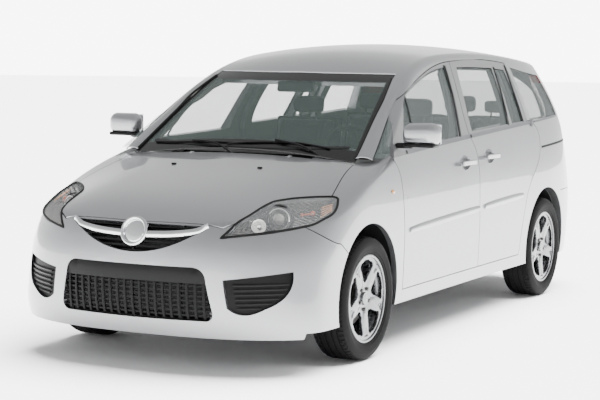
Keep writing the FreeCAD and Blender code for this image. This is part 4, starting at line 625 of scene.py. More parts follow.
def tyre_shape(middle, outward):
    """Tyre with circular grooves, shoulder sipes and ribs on its side wall."""
    bm = spun([(x * outward, r) for x, r in tyre_profile()], middle, steps=TREAD_STEPS)
    bmesh.ops.recalc_face_normals(bm, faces=bm.faces[:])
    shoulder = []
    for face in bm.faces:
        spot = face.calc_center_median() - middle
        radius = math.hypot(spot.y, spot.z)
        turn = math.atan2(spot.z, spot.y) / (2 * math.pi) + 1
        number = int(turn * TREAD_STEPS + 0.5) % TREAD_STEPS
        if 0.058 < abs(spot.x) < 0.088 and radius > 0.306 and number % 2 == 0:
            shoulder.append(face)
    bmesh.ops.inset_individual(bm, faces=shoulder, thickness=0.0016, depth=-0.0035)
    return bm


def rubber_finish():
    rubber = Finish("tyre_rubber", (0.004, 0.004, 0.0042), 0.72, Specular_IOR_Level=0.10)
    fine = rubber.noise(420, 3)
    dust = rubber.noise(7, 4)
    rubber.color(rubber.mix(dust * 0.7 + fine * 0.15, (0.003, 0.003, 0.0032), (0.008, 0.0078, 0.0076)))
    rubber.rough(0.62 + dust * 0.22)
    rubber.bump(fine, 0.0004, 0.5)
    return rubber.material


SPOKES = 5
PITCH = 2 * math.pi / SPOKES
STEPS_PER_SPOKE = 30
FACE_RINGS = 30
HUB_RADIUS, FACE_RADIUS = 0.030, 0.216
WINDOW_LOW, WINDOW_HIGH = 0.083, 0.196
POCKET_LOW, POCKET_HIGH = 0.150, 0.192
FACE_DEPTH = 0.017
FACE_HEIGHTS = [(0.0, 0.0660), (0.03, 0.0662), (0.06, 0.0685), (0.11, 0.0745), (0.16, 0.0785),
                (0.205, 0.0815), (0.222, 0.0822)]


def wheel_face(radius):
    """How far the wheel's outer face stands out of its middle plane at a radius."""
    for (r0, a0), (r1, a1) in zip(FACE_HEIGHTS, FACE_HEIGHTS[1:]):
        if radius <= r1:
            return a0 + (a1 - a0) * (radius - r0) / (r1 - r0)
    return FACE_HEIGHTS[-1][1]


def in_window(radius, turn):
    """Whether a point of the wheel's face, its turn measured from a window's middle, is cut away."""
    if not WINDOW_LOW < radius < WINDOW_HIGH:
        return False
    share = (radius - WINDOW_LOW) / (WINDOW_HIGH - WINDOW_LOW)
    half = math.radians(9 + 17.5 * share ** 0.75)
    corner = min(1.0, share / 0.16) ** 0.5 * min(1.0, (1 - share) / 0.10) ** 0.5
    return abs(turn) < half * corner


def polar(spot):
    """Distance from the hub, and turn from the middle of the nearest window."""
    turn = math.atan2(spot.y, spot.z)
    return math.hypot(spot.y, spot.z), (turn + PITCH / 2) % PITCH - PITCH / 2


def face_relief(radius, turn):
    """How far a spoke's crown stands out here, less the pocket near the rim."""
    around = abs(abs(turn) - PITCH / 2)
    crown = 0.0
    if 0.07 < radius < 0.2:
        crown = 0.0035 * math.cos(min(1.0, around / math.radians(17)) * math.pi / 2)
    pocket = 0.0
    if POCKET_LOW < radius < POCKET_HIGH:
        reach = math.radians(6.0) * (radius - POCKET_LOW) / 0.042
        if around < reach:
            pocket = 0.006
    return crown - pocket


def alloy_wheel(middle, outward):
    """Five wide spokes with rounded windows between them."""
    span = FACE_RADIUS - HUB_RADIUS
    radii = [HUB_RADIUS + span * i / FACE_RINGS for i in range(FACE_RINGS + 1)]
    bm = spun([(outward * wheel_face(r), r) for r in radii], middle, steps=SPOKES * STEPS_PER_SPOKE,
              merge=0.0001)
    gone = [face for face in bm.faces if in_window(*polar(face.calc_center_median() - middle))]
    bmesh.ops.delete(bm, geom=gone, context="FACES")
    for _ in range(3):
        rim_verts = [v for v in bm.verts if v.is_boundary
                     and 0.06 < math.hypot(v.co.y - middle.y, v.co.z - middle.z) < 0.21]
        bmesh.ops.smooth_vert(bm, verts=rim_verts, factor=0.5, use_axis_x=False, use_axis_y=True,
                              use_axis_z=True)
    for vert in bm.verts:
        vert.co.x += outward * face_relief(*polar(vert.co - middle))
    furthest = max(v.co.x * outward for v in bm.verts)
    bmesh.ops.solidify(bm, geom=bm.faces[:], thickness=FACE_DEPTH)
    if max(v.co.x * outward for v in bm.verts) > furthest + FACE_DEPTH / 4:
        bmesh.ops.translate(bm, vec=(-outward * FACE_DEPTH, 0, 0), verts=bm.verts[:])
    bm.normal_update()
    corners = [e for e in bm.edges if len(e.link_faces) == 2 and e.calc_face_angle() > 1.0]
    return bevelled(bm, corners, 0.0022, 2, clamp=True)


BARREL = [(0.0795, 0.2120), (0.0868, 0.2135), (0.0885, 0.2160), (0.0888, 0.2250), (0.0870, 0.2275),
          (0.0850, 0.2265), (0.0845, 0.2175), (0.0800, 0.2150), (0.0500, 0.2140), (0.0300, 0.2010),
          (-0.0250, 0.2010), (-0.0450, 0.2140), (-0.0840, 0.2150), (-0.0850, 0.2265), (-0.0885, 0.2260),
          (-0.0885, 0.2100), (-0.0450, 0.2085), (-0.0250, 0.1955), (0.0300, 0.1955), (0.0480, 0.2060),
          (0.0560, 0.2090), (0.0795, 0.2120)]
HUB_CAP = [(0.0640, 0.0330), (0.0745, 0.0328), (0.0775, 0.0312), (0.0780, 0.0260), (0.0772, 0.0235),
           (0.0776, 0.0215), (0.0790, 0.0120), (0.0793, 0.0004)]
VALVE = [(0.0700, 0.2050), (0.0800, 0.2035), (0.0860, 0.2025)]
VALVE_TURN = 0.63
NUT_CIRCLE = 0.0555
NUT_STANDS_OUT = 0.0710


def wheel_nuts(middle, outward):
    """Five six-sided nuts, one on the foot of each spoke."""
    nuts = []
    for number in range(SPOKES):
        turn = 2 * math.pi * (number + 0.5) / SPOKES
        spot = middle + Vector((outward * NUT_STANDS_OUT, math.sin(turn) * NUT_CIRCLE,
                                math.cos(turn) * NUT_CIRCLE))
        nut = bmesh.new()
        bmesh.ops.create_cone(nut, cap_ends=True, segments=6, radius1=0.0105, radius2=0.0098, depth=0.014)
        bevelled(nut, nut.edges[:], 0.0012, 2)
        nuts.append(moved(nut, spot, Matrix.Rotation(math.pi / 2 * outward, 3, "Y")))
    return joined(*nuts)


def wheel_parts(name, middle, outward):
    body = "wheel_" + name
    new_piece("tyre_detail_" + name, tyre_shape(middle, outward), rubber, body, slot="tyre",
              stands_for=["tyre_" + name], sharp=28)
    face = alloy_wheel(middle, outward)
    barrel = spun([(outward * x, r) for x, r in BARREL], middle, steps=96)
    new_piece("wheel_detail_" + name, joined(face, barrel), alloy, body, slot="alloy",
              stands_for=["rim_" + name], sharp=40)
    new_piece("wheel_nuts_" + name, wheel_nuts(middle, outward), disc_iron, body, slot="cast_iron")
    cap = spun([(outward * x, r) for x, r in HUB_CAP], middle, steps=48)
    new_piece("wheel_cap_" + name, cap, alloy, body, slot="alloy", sharp=50)
    valve = tube_along([middle + Vector((outward * x, math.sin(VALVE_TURN) * r, math.cos(VALVE_TURN) * r))
                        for x, r in VALVE], 0.0032)
    new_piece("tyre_valve_" + name, valve, rubber, body, slot="tyre")


rubber = rubber_finish()
for end, along in AXLES.items():
    for hand, outward in (("left", LEFT), ("right", RIGHT)):
        wheel_parts(f"{end}_{hand}", Vector((WHEEL_X * outward, along, WHEEL_RADIUS)), outward)


# Headlamps. Their outline lies on the skin of the hood, fender and bumper, which make room for it.

LAMP_LOW = [(0.450, -2.215, 0.681), (0.550, -2.160, 0.695), (0.644, -2.085, 0.709), (0.713, -2.012, 0.720),
            (0.757, -1.950, 0.730), (0.788, -1.895, 0.740), (0.808, -1.828, 0.760), (0.823, -1.755, 0.782),
            (0.818, -1.697, 0.810), (0.791, -1.627, 0.846)]
LAMP_TOP = [(0.450, -2.215, 0.681), (0.479, -2.188, 0.715), (0.508, -2.147, 0.756), (0.530, -2.072, 0.784),
            (0.545, -1.967, 0.817), (0.558, -1.889, 0.836), (0.580, -1.847, 0.843), (0.622, -1.783, 0.850),
            (0.683, -1.709, 0.854), (0.727, -1.664, 0.855), (0.768, -1.627, 0.854), (0.791, -1.627, 0.846)]
LAMP_OUT = Vector((0.42, -0.45, 0.79)).normalized()
LAMP_AHEAD = Vector((0.42, -0.90, 0.09)).normalized()
LAMP_BACK = -LAMP_AHEAD
front_skin = skin_of("hood", "headlamp_lenses", "fenders", "front_bumper")


class LampFace:
    """The lens surface: between its lower and upper edge, as full as the skin there."""

    def __init__(self, steps):
        self.steps = steps
        self.low = [spot for spot, _ in smooth_path(LAMP_LOW, steps)]
        self.top = [spot for spot, _ in smooth_path(LAMP_TOP, steps)]
        raw = []
        for a, b in zip(self.low, self.top):
            rises = []
            for share in (0.42, 0.47, 0.53, 0.58):
                chord = a.lerp(b, share)
                hit = front_skin.ray_cast(chord + LAMP_OUT * 0.2, -LAMP_OUT)[0]
                if hit:
                    rises.append((hit - chord).dot(LAMP_OUT) / (4 * share * (1 - share)))
            rises.sort()
            raw.append(max(0.0, rises[len(rises) // 2]) if rises else 0.0)
        self.rise = []
        for number in range(len(raw)):
            near = raw[max(0, number - 4):number + 5]
            self.rise.append(sum(near) / len(near))
        self.rise[0] = self.rise[-1] = 0.0

    def spot(self, along, up, lift=0.0):
        place = along * self.steps
        number = min(int(place), self.steps - 1)
        share = place - number
        a = self.low[number].lerp(self.low[number + 1], share)
        b = self.top[number].lerp(self.top[number + 1], share)
        rise = self.rise[number] * (1 - share) + self.rise[number + 1] * share
        return a.lerp(b, up) + LAMP_OUT * (rise * 4 * up * (1 - up) + lift)

    def outline(self, count=160):
        return evened(self.low[:-1] + self.top[:0:-1], count)


def ring_of(bm, points):
    verts = [bm.verts.new(p) for p in points]
    return [bm.edges.new((a, b)) for a, b in zip(verts, verts[1:] + verts[:1])]


def lofted(rings, cap_first=False, cap_last=True):
    """A skin over closed outlines, each with as many points as the last."""
    bm = bmesh.new()
    loops = [ring_of(bm, ring) for ring in rings]
    for a, b in zip(loops, loops[1:]):
        bmesh.ops.bridge_loops(bm, edges=a + b)
    if cap_first:
        bmesh.ops.edgeloop_fill(bm, edges=loops[0])
    if cap_last:
        bmesh.ops.edgeloop_fill(bm, edges=loops[-1])
    return bm


def shrunk(points, share, shift=Vector((0, 0, 0))):
    middle = sum(points, Vector((0, 0, 0))) / len(points)
    return [middle + (p - middle) * share + shift for p in points]


def room_for_lamps(face):
    """The solid that the hood, fenders and bumper leave to a lamp."""
    outline = face.outline(90)
    return lofted([[p + LAMP_OUT * 0.06 for p in outline], [p - LAMP_OUT * 0.06 for p in outline]],
                  cap_first=True)


def lamp_cutters(face):
    """Work objects that take the two lamps' outlines out of a panel."""
    cutters = []
    for hand, bm in (("left", room_for_lamps(face)), ("right", flipped(room_for_lamps(face)))):
        bmesh.ops.recalc_face_normals(bm, faces=bm.faces[:])
        cutters.append(in_scene("lamp_room_" + hand, mesh_of("lamp_room", bm)))
    return cutters


def without_lamps(node, body, finish, cutters):
    """A copy of a panel with the lamps' outlines cut out of it."""
    bm = bmesh_of(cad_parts[node].data)
    bmesh.ops.remove_doubles(bm, verts=bm.verts[:], dist=0.00003)
    work = in_scene(node + "_work", mesh_of(node + "_panel", bm))
    for cutter in cutters:
        cut = work.modifiers.new("lamp", "BOOLEAN")
        cut.operation = "DIFFERENCE"
        cut.solver = "EXACT"
        cut.object = cutter
    done = with_modifiers(work)
    bpy.data.objects.remove(work)
    return new_piece(node + "_panel", bmesh_of(done), finish, body, sharp=30, slot="silver_paint",
                     stands_for=[node])


def lens_shape(face):
    """The clear lens, laid over the lamp's face."""
    bm = bmesh.new()
    bmesh.ops.create_grid(bm, x_segments=60, y_segments=18, size=0.5)
    for vert in bm.verts:
        along, up = vert.co.x + 0.5, vert.co.y + 0.5
        vert.co = face.spot(min(max(along, 0.0), 1.0), up, 0.0005)
    bmesh.ops.remove_doubles(bm, verts=bm.verts[:], dist=0.0004)
    bmesh.ops.dissolve_degenerate(bm, edges=bm.edges[:], dist=0.0002)
    bmesh.ops.solidify(bm, geom=bm.faces[:], thickness=0.0025)
    return bm


# The bowl's rings: share of the lens outline, depth behind it, and how far it sinks under the lens
BOWL_RINGS = ((0.97, 0.035, 0.010), (0.93, 0.090, 0.012), (0.80, 0.150, 0.006), (0.50, 0.160, 0.004))


def bowl_shape(outline):
    """The housing behind the lens, which narrows toward its back."""
    rings = [[p - LAMP_OUT * 0.006 for p in outline]]
    for share, depth, sunk in BOWL_RINGS:
        rings.append(shrunk(outline, share, LAMP_BACK * depth - LAMP_OUT * sunk))
    return lofted(rings)


def turned(profile, place, steps):
    """A part of the lamp that is round about the lamp's own axis."""
    return spun(profile, place, axis=LAMP_AHEAD, start=LAMP_AHEAD.orthogonal().normalized(), steps=steps)


def bowl_finish():
    bowl = metal_finish("lamp_housing", (0.50, 0.49, 0.47), 0.16, 1.0, grain=60)
    bowl.bump((bowl.axes()[1] * 260).sine(), 0.0030, 0.8)
    return bowl.material


lamp = LampFace(60)
cutters = lamp_cutters(lamp)
for node, body in (("hood", "hood"), ("fenders", "body"), ("front_bumper", "body")):
    without_lamps(node, body, plain_paint, cutters)
for cutter in cutters:
    bpy.data.objects.remove(cutter)

bodies = ("body", "body")
pair("headlamp_lens", lens_shape(lamp), lens, bodies, slot="clear_lens", stands_for=["headlamp_lenses"])
border = tube_along(lamp.outline(200), 0.0062, closed=True, sides=8)
pair("headlamp_border", border, seal_rubber, bodies, slot="black_plastic")
pair("headlamp_housing", bowl_shape(lamp.outline(160)), bowl_finish(), bodies, slot="lamp_inside",
     stands_for=["headlamps"])

PROJECTOR = Vector((0.655, -2.017, 0.767)) + LAMP_BACK * 0.115
HIGH_BEAM = Vector((0.595, -2.108, 0.737)) + LAMP_BACK * 0.085
projector_glass = Finish("projector_lens", (0.10, 0.10, 0.085), 0.06, 0.0, Coat_Weight=1.0,
                         Coat_Roughness=0.01).clouded(30, (0.06, 0.06, 0.05), (0.13, 0.13, 0.11))
# Round parts inside the lamp: place, steps, finish, slot and profile
LAMP_TURNINGS = {
    "projector_ring": (PROJECTOR, 64, reflector, "lamp_inside", [
        (0.004, 0.0560), (0.012, 0.0545), (0.014, 0.0500), (0.008, 0.0460), (-0.004, 0.0400),
        (-0.010, 0.0370), (-0.030, 0.0350), (-0.032, 0.0560), (0.004, 0.0560)]),
    "projector_lens": (PROJECTOR, 48, projector_glass, "clear_lens", [
        (-0.020, 0.0350), (-0.008, 0.0340), (-0.004, 0.0315), (-0.001, 0.0300), (0.007, 0.0265),
        (0.014, 0.0190), (0.018, 0.0100), (0.019, 0.0003)]),
    "projector_bezel": (PROJECTOR, 48, black_steel, "lamp_inside", [
        (-0.002, 0.0365), (0.003, 0.0362), (0.004, 0.0345), (0.002, 0.0328), (-0.004, 0.0322),
        (-0.002, 0.0365)]),
    "beam_reflector": (HIGH_BEAM, 48, reflector, "lamp_inside", [
        (0.000, 0.0370), (0.004, 0.0360), (0.002, 0.0335), (-0.008, 0.0300), (-0.020, 0.0210),
        (-0.026, 0.0110), (-0.010, 0.0095), (-0.004, 0.0070), (-0.003, 0.0003)])}
for name, (place, steps, finish, slot, profile) in LAMP_TURNINGS.items():
    pair(name, turned(profile, place, steps), finish, bodies, slot=slot)
shade = rounded_box((0.060, 0.040, 0.026), 0.009, Vector((0.571, -2.052, 0.779)) + LAMP_BACK * 0.085, 4,
                    Matrix.Rotation(math.radians(25), 3, "Z"))
pair("beam_shade", shade, satin_black, bodies, slot="black_plastic")
collar = turned([(-0.036, 0.0760), (-0.010, 0.0740), (0.004, 0.0690), (0.000, 0.0610), (-0.020, 0.0585),
                 (-0.050, 0.0600), (-0.036, 0.0760)], PROJECTOR, 64)
pair("projector_collar", collar, satin_black, bodies, slot="black_plastic")


def indicator_bulb(first, last):
    """A small and a large bulb on a stalk."""
    parts = []
    for spot, size in ((first, 0.0105), (last, 0.0150)):
        ball = bmesh.new()
        bmesh.ops.create_icosphere(ball, subdivisions=3, radius=size)
        parts.append(moved(ball, spot))
    parts.append(tube_along([first, first.lerp(last, 0.5), last], 0.0055))
    return joined(*parts)


def indicator_ribs(low, high):
    """Five ribs across the lamp's outer corner, from one pair of end points to another."""
    ribs = []
    for number in range(5):
        share = (number + 0.6) / 5.4
        first = low[0].lerp(high[0], share)
        last = low[1].lerp(high[1], share)
        ribs.append(tube_along([p - LAMP_OUT * 0.010 for p in (first, first.lerp(last, 0.5), last)], 0.0026))
    return joined(*ribs)


amber = Finish("amber_bulb", (0.20, 0.03, 0.004), 0.15, 0.1, Coat_Weight=1.0).clouded(
    90, (0.11, 0.014, 0.002), (0.18, 0.032, 0.005))
bulb = indicator_bulb(Vector((0.721, -1.894, 0.780)) + LAMP_BACK * 0.055,
                      Vector((0.753, -1.839, 0.785)) + LAMP_BACK * 0.055)
pair("indicator_bulb", bulb, amber, bodies, slot="lamp_inside")
rib_amber = Finish("indicator_ribs", (0.34, 0.15, 0.06), 0.2, 0.1, Coat_Weight=1.0).clouded(
    120, (0.16, 0.06, 0.020), (0.28, 0.14, 0.07))
corner_ribs = indicator_ribs((Vector((0.793, -1.830, 0.769)), Vector((0.808, -1.730, 0.798))),
                             (Vector((0.752, -1.727, 0.824)), Vector((0.783, -1.668, 0.833))))
pair("indicator_ribs", corner_ribs, rib_amber, bodies, slot="lamp_inside")


# Nose: chrome wings with a plain boss, radiator, louvres

grille_skin = skin_of("grilles")


def bar_face(x, z):
    """The grilles' front face, bridging the gaps between their bars."""
    for inward in (1.0, 0.98, 0.95, 0.92, 0.88, 0.84):
        for step in range(14):
            for sign in (1, -1):
                start = Vector((x * inward, -3.0, z + sign * step * 0.001))
                hit = grille_skin.ray_cast(start, Y_AXIS)[0]
                if hit and hit.y < -2.19:
                    slope = 0.34 if z > 0.58 else 0.02
                    return Vector((x, hit.y, z)), Vector((x * 0.5, -1, slope)).normalized()
    return Vector((x, -2.262 + 0.36 * x * x, z)), Vector((x * 0.5, -1, 0)).normalized()


def smoothed(bm, times=6):
    for _ in range(times):
        bmesh.ops.smooth_vert(bm, verts=bm.verts[:], factor=0.5, use_axis_x=False, use_axis_y=True,
                              use_axis_z=False)
    return bm


wing = laid_strip([(0.378, 0.733), (0.345, 0.713), (0.300, 0.700), (0.190, 0.688), (0.050, 0.681)],
                  0.030, 0.012, bar_face, steps=60, rows=6, lift=0.006, taper=0.0, crown=0.6)
right_wing = flipped(wing)
new_piece("grille_wings", joined(smoothed(wing), smoothed(right_wing)), chrome, "body", slot="lamp_inside")
boss_out = Vector((0, -0.945, 0.328))
boss_place = Vector((0, -2.2575, 0.691))
boss_ring = spun([(0.000, 0.0755), (0.014, 0.0755), (0.0215, 0.0725), (0.0245, 0.0680), (0.0235, 0.0625),
                  (0.0180, 0.0585), (0.0120, 0.0570), (0.0120, 0.0500), (-0.004, 0.0500), (0.000, 0.0755)],
                 boss_place, axis=boss_out, start=X_AXIS, steps=96)
new_piece("grille_boss_ring", boss_ring, chrome, "body", slot="lamp_inside", sharp=50)
boss_dish = spun([(0.010, 0.0580), (0.0125, 0.0560), (0.0145, 0.0450), (0.0165, 0.0250), (0.0170, 0.0003)],
                 boss_place, axis=boss_out, start=X_AXIS, steps=96)
new_piece("grille_boss_dish", boss_dish, chrome, "body", slot="lamp_inside", sharp=60)
radiator_finish = metal_finish("radiator", (0.012, 0.012, 0.0125), 0.55, 0.3, 200)
across, _, height = radiator_finish.axes()
radiator_finish.bump((height * 420).sine() * 0.5 + (across * 150).sine(), 0.002, 0.6)
radiator = rounded_box((0.760, 0.010, 0.440), 0.003, Vector((0, -2.191, 0.485)), 2)
new_piece("radiator", radiator, radiator_finish.material, "body", slot="dark_metal")
band = laid_strip([(-0.412, 0.500), (-0.25, 0.501), (0.0, 0.501), (0.25, 0.501), (0.412, 0.500)],
                  0.082, 0.008, bar_face, steps=90, rows=6, lift=0.001, crown=0.5)
new_piece("intake_band", smoothed(band, 10), satin_black, "body", slot="black_plastic")
UPRIGHT_PITCH = 0.0425
uprights = []
for number in range(-9, 10):
    x = number * UPRIGHT_PITCH
    uprights.append(laid_strip([(x, 0.286), (x, 0.37), (x, 0.458)], 0.013, 0.006, bar_face, steps=16,
                               rows=2, lift=0.0006, crown=0.3))
new_piece("intake_uprights", joined(*uprights), black_plastic, "body", slot="black_plastic")
fog_face = from_front(skin_of("fog_lamp_inserts"))
LOUVRE_LOW, LOUVRE_PITCH = 0.345, 0.0225
louvres = []
for number in range(6):
    z = LOUVRE_LOW + number * LOUVRE_PITCH
    inside = [x / 1000 for x in range(450, 800, 4) if fog_face(x / 1000, z)[0] is not None]
    if len(inside) > 10:
        start, end = inside[0] + 0.035, inside[-1] - 0.02
        line = [(start, z), ((start + end) / 2, z + 0.002), (end, z + 0.004)]
        louvres.append(laid_strip(line, 0.010, 0.009, fog_face, steps=24, rows=2, lift=0.0, crown=0.2))
pair("fog_louvres", joined(*louvres), satin_black, bodies, slot="black_plastic")


# Pillars, window surrounds and the side

PILLAR_INNER = [(0.560, -0.470, 1.420), (0.583, -0.575, 1.368), (0.608, -0.693, 1.305),
                (0.619, -0.804, 1.236), (0.633, -0.911, 1.172), (0.651, -1.037, 1.095),
                (0.668, -1.165, 1.018)]
PILLAR_OUTER = [(0.636, -0.430, 1.408), (0.655, -0.560, 1.354), (0.672, -0.675, 1.292),
                (0.690, -0.800, 1.222), (0.712, -0.905, 1.160), (0.738, -1.030, 1.085),
                (0.757, -1.145, 1.010)]
PILLAR_OUT = Vector((0.45, -0.42, 0.79)).normalized()


def ruled(first, second, steps, rows, bulge, outward, lift=0.0, thickness=0.002):
    """A sheet between two lines, bulged between them."""
    a = [spot for spot, _ in smooth_path(first, steps)]
    b = [spot for spot, _ in smooth_path(second, steps)]
    bm = bmesh.new()
    bmesh.ops.create_grid(bm, x_segments=steps, y_segments=rows, size=0.5)
    for vert in bm.verts:
        along, across = round((vert.co.x + 0.5) * steps), vert.co.y + 0.5
        vert.co = a[along].lerp(b[along], across) + outward * (bulge * 4 * across * (1 - across) + lift)
    bmesh.ops.solidify(bm, geom=bm.faces[:], thickness=thickness)
    return bm


def along_pillar(line, lift, radius):
    """A bar along an edge of the pillar, a little above it."""
    return tube_along([p + PILLAR_OUT * lift for p, _ in smooth_path(line, 40)], radius)


cover = ruled(PILLAR_INNER, PILLAR_OUTER, 48, 8, 0.012, PILLAR_OUT, 0.004, 0.003)
pair("a_pillar_cover", cover, plain_paint, bodies, slot="silver_paint")
pair("windshield_moulding", along_pillar(PILLAR_INNER, 0.004, 0.0065), seal_rubber, bodies,
     slot="black_plastic")
pair("pillar_seal", along_pillar(PILLAR_OUTER, 0.002, 0.0035), seal_rubber, bodies, slot="black_plastic")

door_skin = from_side(skin_of("front_door_left", "front_door_glass_left"))
slide_skin = from_side(skin_of("sliding_doors", "side_glass"))
rear_skin = from_side(skin_of("body_sides", "side_glass"))
door_bodies = ("front_door_left", "front_door_right")


def belt(y):
    """Height of the belt line, where the windows start."""
    return 1.073 + (y + 0.149) * 0.046


def along_belt(start, end, drop=0.0):
    return [(y, belt(y) - drop) for y in (start, (start + end) / 2, end)]


# Each moulding: its start and end along the car, how far it hangs under the belt line, width,
# thickness, steps, rows, skin and bodies
BELT_MOULDINGS = {
    "front_belt_moulding": (-0.800, 0.262, 0.004, 0.022, 0.006, 60, 4, door_skin, door_bodies),
    "slide_belt_moulding": (0.172, 1.245, 0.004, 0.022, 0.006, 60, 4, slide_skin, bodies),
    "rear_belt_moulding": (1.270, 1.760, 0.006, 0.012, 0.004, 30, 3, rear_skin, bodies)}
for name, (start, end, drop, width, thickness, steps, rows, face, owners) in BELT_MOULDINGS.items():
    strip = laid_strip(along_belt(start, end, drop), width, thickness, face, steps, rows, 0.0005)
    pair(name, strip, window_grey, owners, slot="black_plastic")

SIDE_BARS = {"front_side_moulding": (-0.885, 0.190, door_skin, door_bodies),
             "slide_side_moulding": (0.245, 0.905, slide_skin, bodies)}
for name, (start, end, face, owners) in SIDE_BARS.items():
    level = [(y, 0.627 + (y + 0.894) * 0.0343) for y in (start, (start + end) / 2, end)]
    pair(name, laid_strip(level, 0.040, 0.010, face, 60, 6, 0.0, 0.35, 0.7), plain_paint, owners,
         slot="silver_paint")

# Upright black strips between the panes, from the belt to the roof
UPRIGHTS = {
    "front_door_strip": ([(0.178, 1.492), (0.105, 1.30), (0.010, 1.085)], 0.024, door_skin, door_bodies),
    "front_divider": ([(-0.565, 1.330), (-0.600, 1.20), (-0.655, 1.052)], 0.014, door_skin, door_bodies),
    "slide_divider": ([(0.968, 1.478), (0.895, 1.31), (0.822, 1.128)], 0.020, slide_skin, bodies),
    "slide_rear_strip": ([(1.172, 1.488), (1.112, 1.31), (1.080, 1.140)], 0.024, slide_skin, bodies)}
for name, (line, width, face, owners) in UPRIGHTS.items():
    pair(name, laid_strip(line, width, 0.004, face, 40, 3, 0.0008, 0.0, 0.3), satin_black, owners,
         slot="black_plastic")

track = laid_strip([(1.310, 0.969), (1.60, 0.981), (1.868, 0.992)], 0.014, 0.0015, rear_skin, 40, 2, 0.0004)
pair("slide_track", track, seal_rubber, bodies, slot="black_plastic")
repeater_spot = from_side(skin_of("fenders"))(-1.093, 0.8465)[0]
repeater = spun([(0.000, 0.0150), (0.003, 0.0148), (0.0065, 0.0120), (0.008, 0.0070), (0.0085, 0.0003)],
                Vector((0, 0, 0)), steps=32)
bmesh.ops.scale(repeater, vec=(1, 1.3, 0.8), verts=repeater.verts[:])
repeater_amber = Finish("repeater_lens", (0.30, 0.13, 0.03), 0.12, Coat_Weight=1.0).clouded(
    200, (0.24, 0.10, 0.02), (0.34, 0.17, 0.05))
pair("side_repeater", moved(repeater, repeater_spot), repeater_amber, bodies, slot="clear_lens")


# Cowl and wipers

cowl_skin = from_top(skin_of("cowl_panel", "windshield", "hood"))
grille_top = laid_strip([(-0.60, -1.090), (-0.30, -1.150), (0, -1.165), (0.30, -1.150), (0.60, -1.090)],
                        0.020, 0.003, cowl_skin, 80, 2, 0.0006)
new_piece("cowl_slats", grille_top, satin_black, "body", slot="black_plastic")
screen = from_top(skin_of("windshield", "cowl_panel"))


def lying(points, lift):
    """The points of a plan line set on the windshield, a little above it."""
    places = []
    for x, y in points:
        hit = screen(x, y)[0]
        places.append((hit if hit else Vector((x, y, 1.02))) + Z_AXIS * lift)
    return places


def wiper(arm, blade):
    """A pivot, an arm and a blade that lies on the glass."""
    arm_places = [p for p, _ in smooth_path(lying(arm, 0.016), 16)]
    blade_places = [p for p, _ in smooth_path(lying(blade, 0.007), 30)]
    pivot = spun([(-0.012, 0.0150), (0.012, 0.0145), (0.016, 0.0100), (0.017, 0.0003)], arm_places[0],
                 axis=Z_AXIS, start=X_AXIS, steps=24)
    return joined(tube_along(arm_places, 0.0060), tube_along(blade_places, 0.0055), pivot)


WIPERS = {
    "wiper_driver": ([(0.545, -1.195), (0.36, -1.155), (0.17, -1.120)],
                     [(0.50, -1.128), (0.28, -1.118), (0.02, -1.142), (-0.10, -1.162)]),
    "wiper_passenger": ([(0.010, -1.210), (-0.16, -1.172), (-0.33, -1.140)],
                        [(-0.02, -1.150), (-0.24, -1.140), (-0.44, -1.135), (-0.58, -1.118)])}
for name, (arm, blade) in WIPERS.items():
    new_piece(name, wiper(arm, blade), satin_black, "body", slot="black_plastic")

hood_top = from_top(skin_of("hood"))
jets = []
for x, y in ((0.259, -1.462), (-0.259, -1.462)):
    hit, out = hood_top(x, y)
    jets.append(rounded_box((0.026, 0.018, 0.010), 0.0045, hit + out * 0.002, 3))
new_piece("washer_jets", joined(*jets), satin_black, "hood", slot="black_plastic")

# Glass of the door mirrors, on the back of their shells
mirror_pane = rounded_box((0.175, 0.004, 0.105), 0.0018, Vector((0.928, -0.8352, 1.142)), 2)
pair("mirror_glass", mirror_pane, mirror_glass, door_bodies, slot="glass")


# Seats: padded cushions, backs and headrests on plain frames

SEAT_WIDTH, SEAT_BACK, PAD = 0.50, 0.64, 0.11
RAKE = math.atan2(0.173, 0.645)
SWELL_LIMIT = 0.024
SWELL_FRAMES = 20
CHANNEL = 0.006


def weave_finish():
    cloth = Finish("seat_fabric", (0.012, 0.012, 0.013), 0.9, Sheen_Weight=0.15, Specular_IOR_Level=0.2)
    x, y, z = cloth.axes()
    warp = (x * 2100).sine()
    weft = ((y + z) * 2100).sine()
    wear = cloth.noise(9, 4)
    cloth.color(cloth.mix(wear * 0.7 + warp * 0.1, (0.008, 0.008, 0.009), (0.020, 0.020, 0.021)))
    cloth.bump(warp * weft, 0.0004, 0.6)
    return cloth.material


fabric = weave_finish()


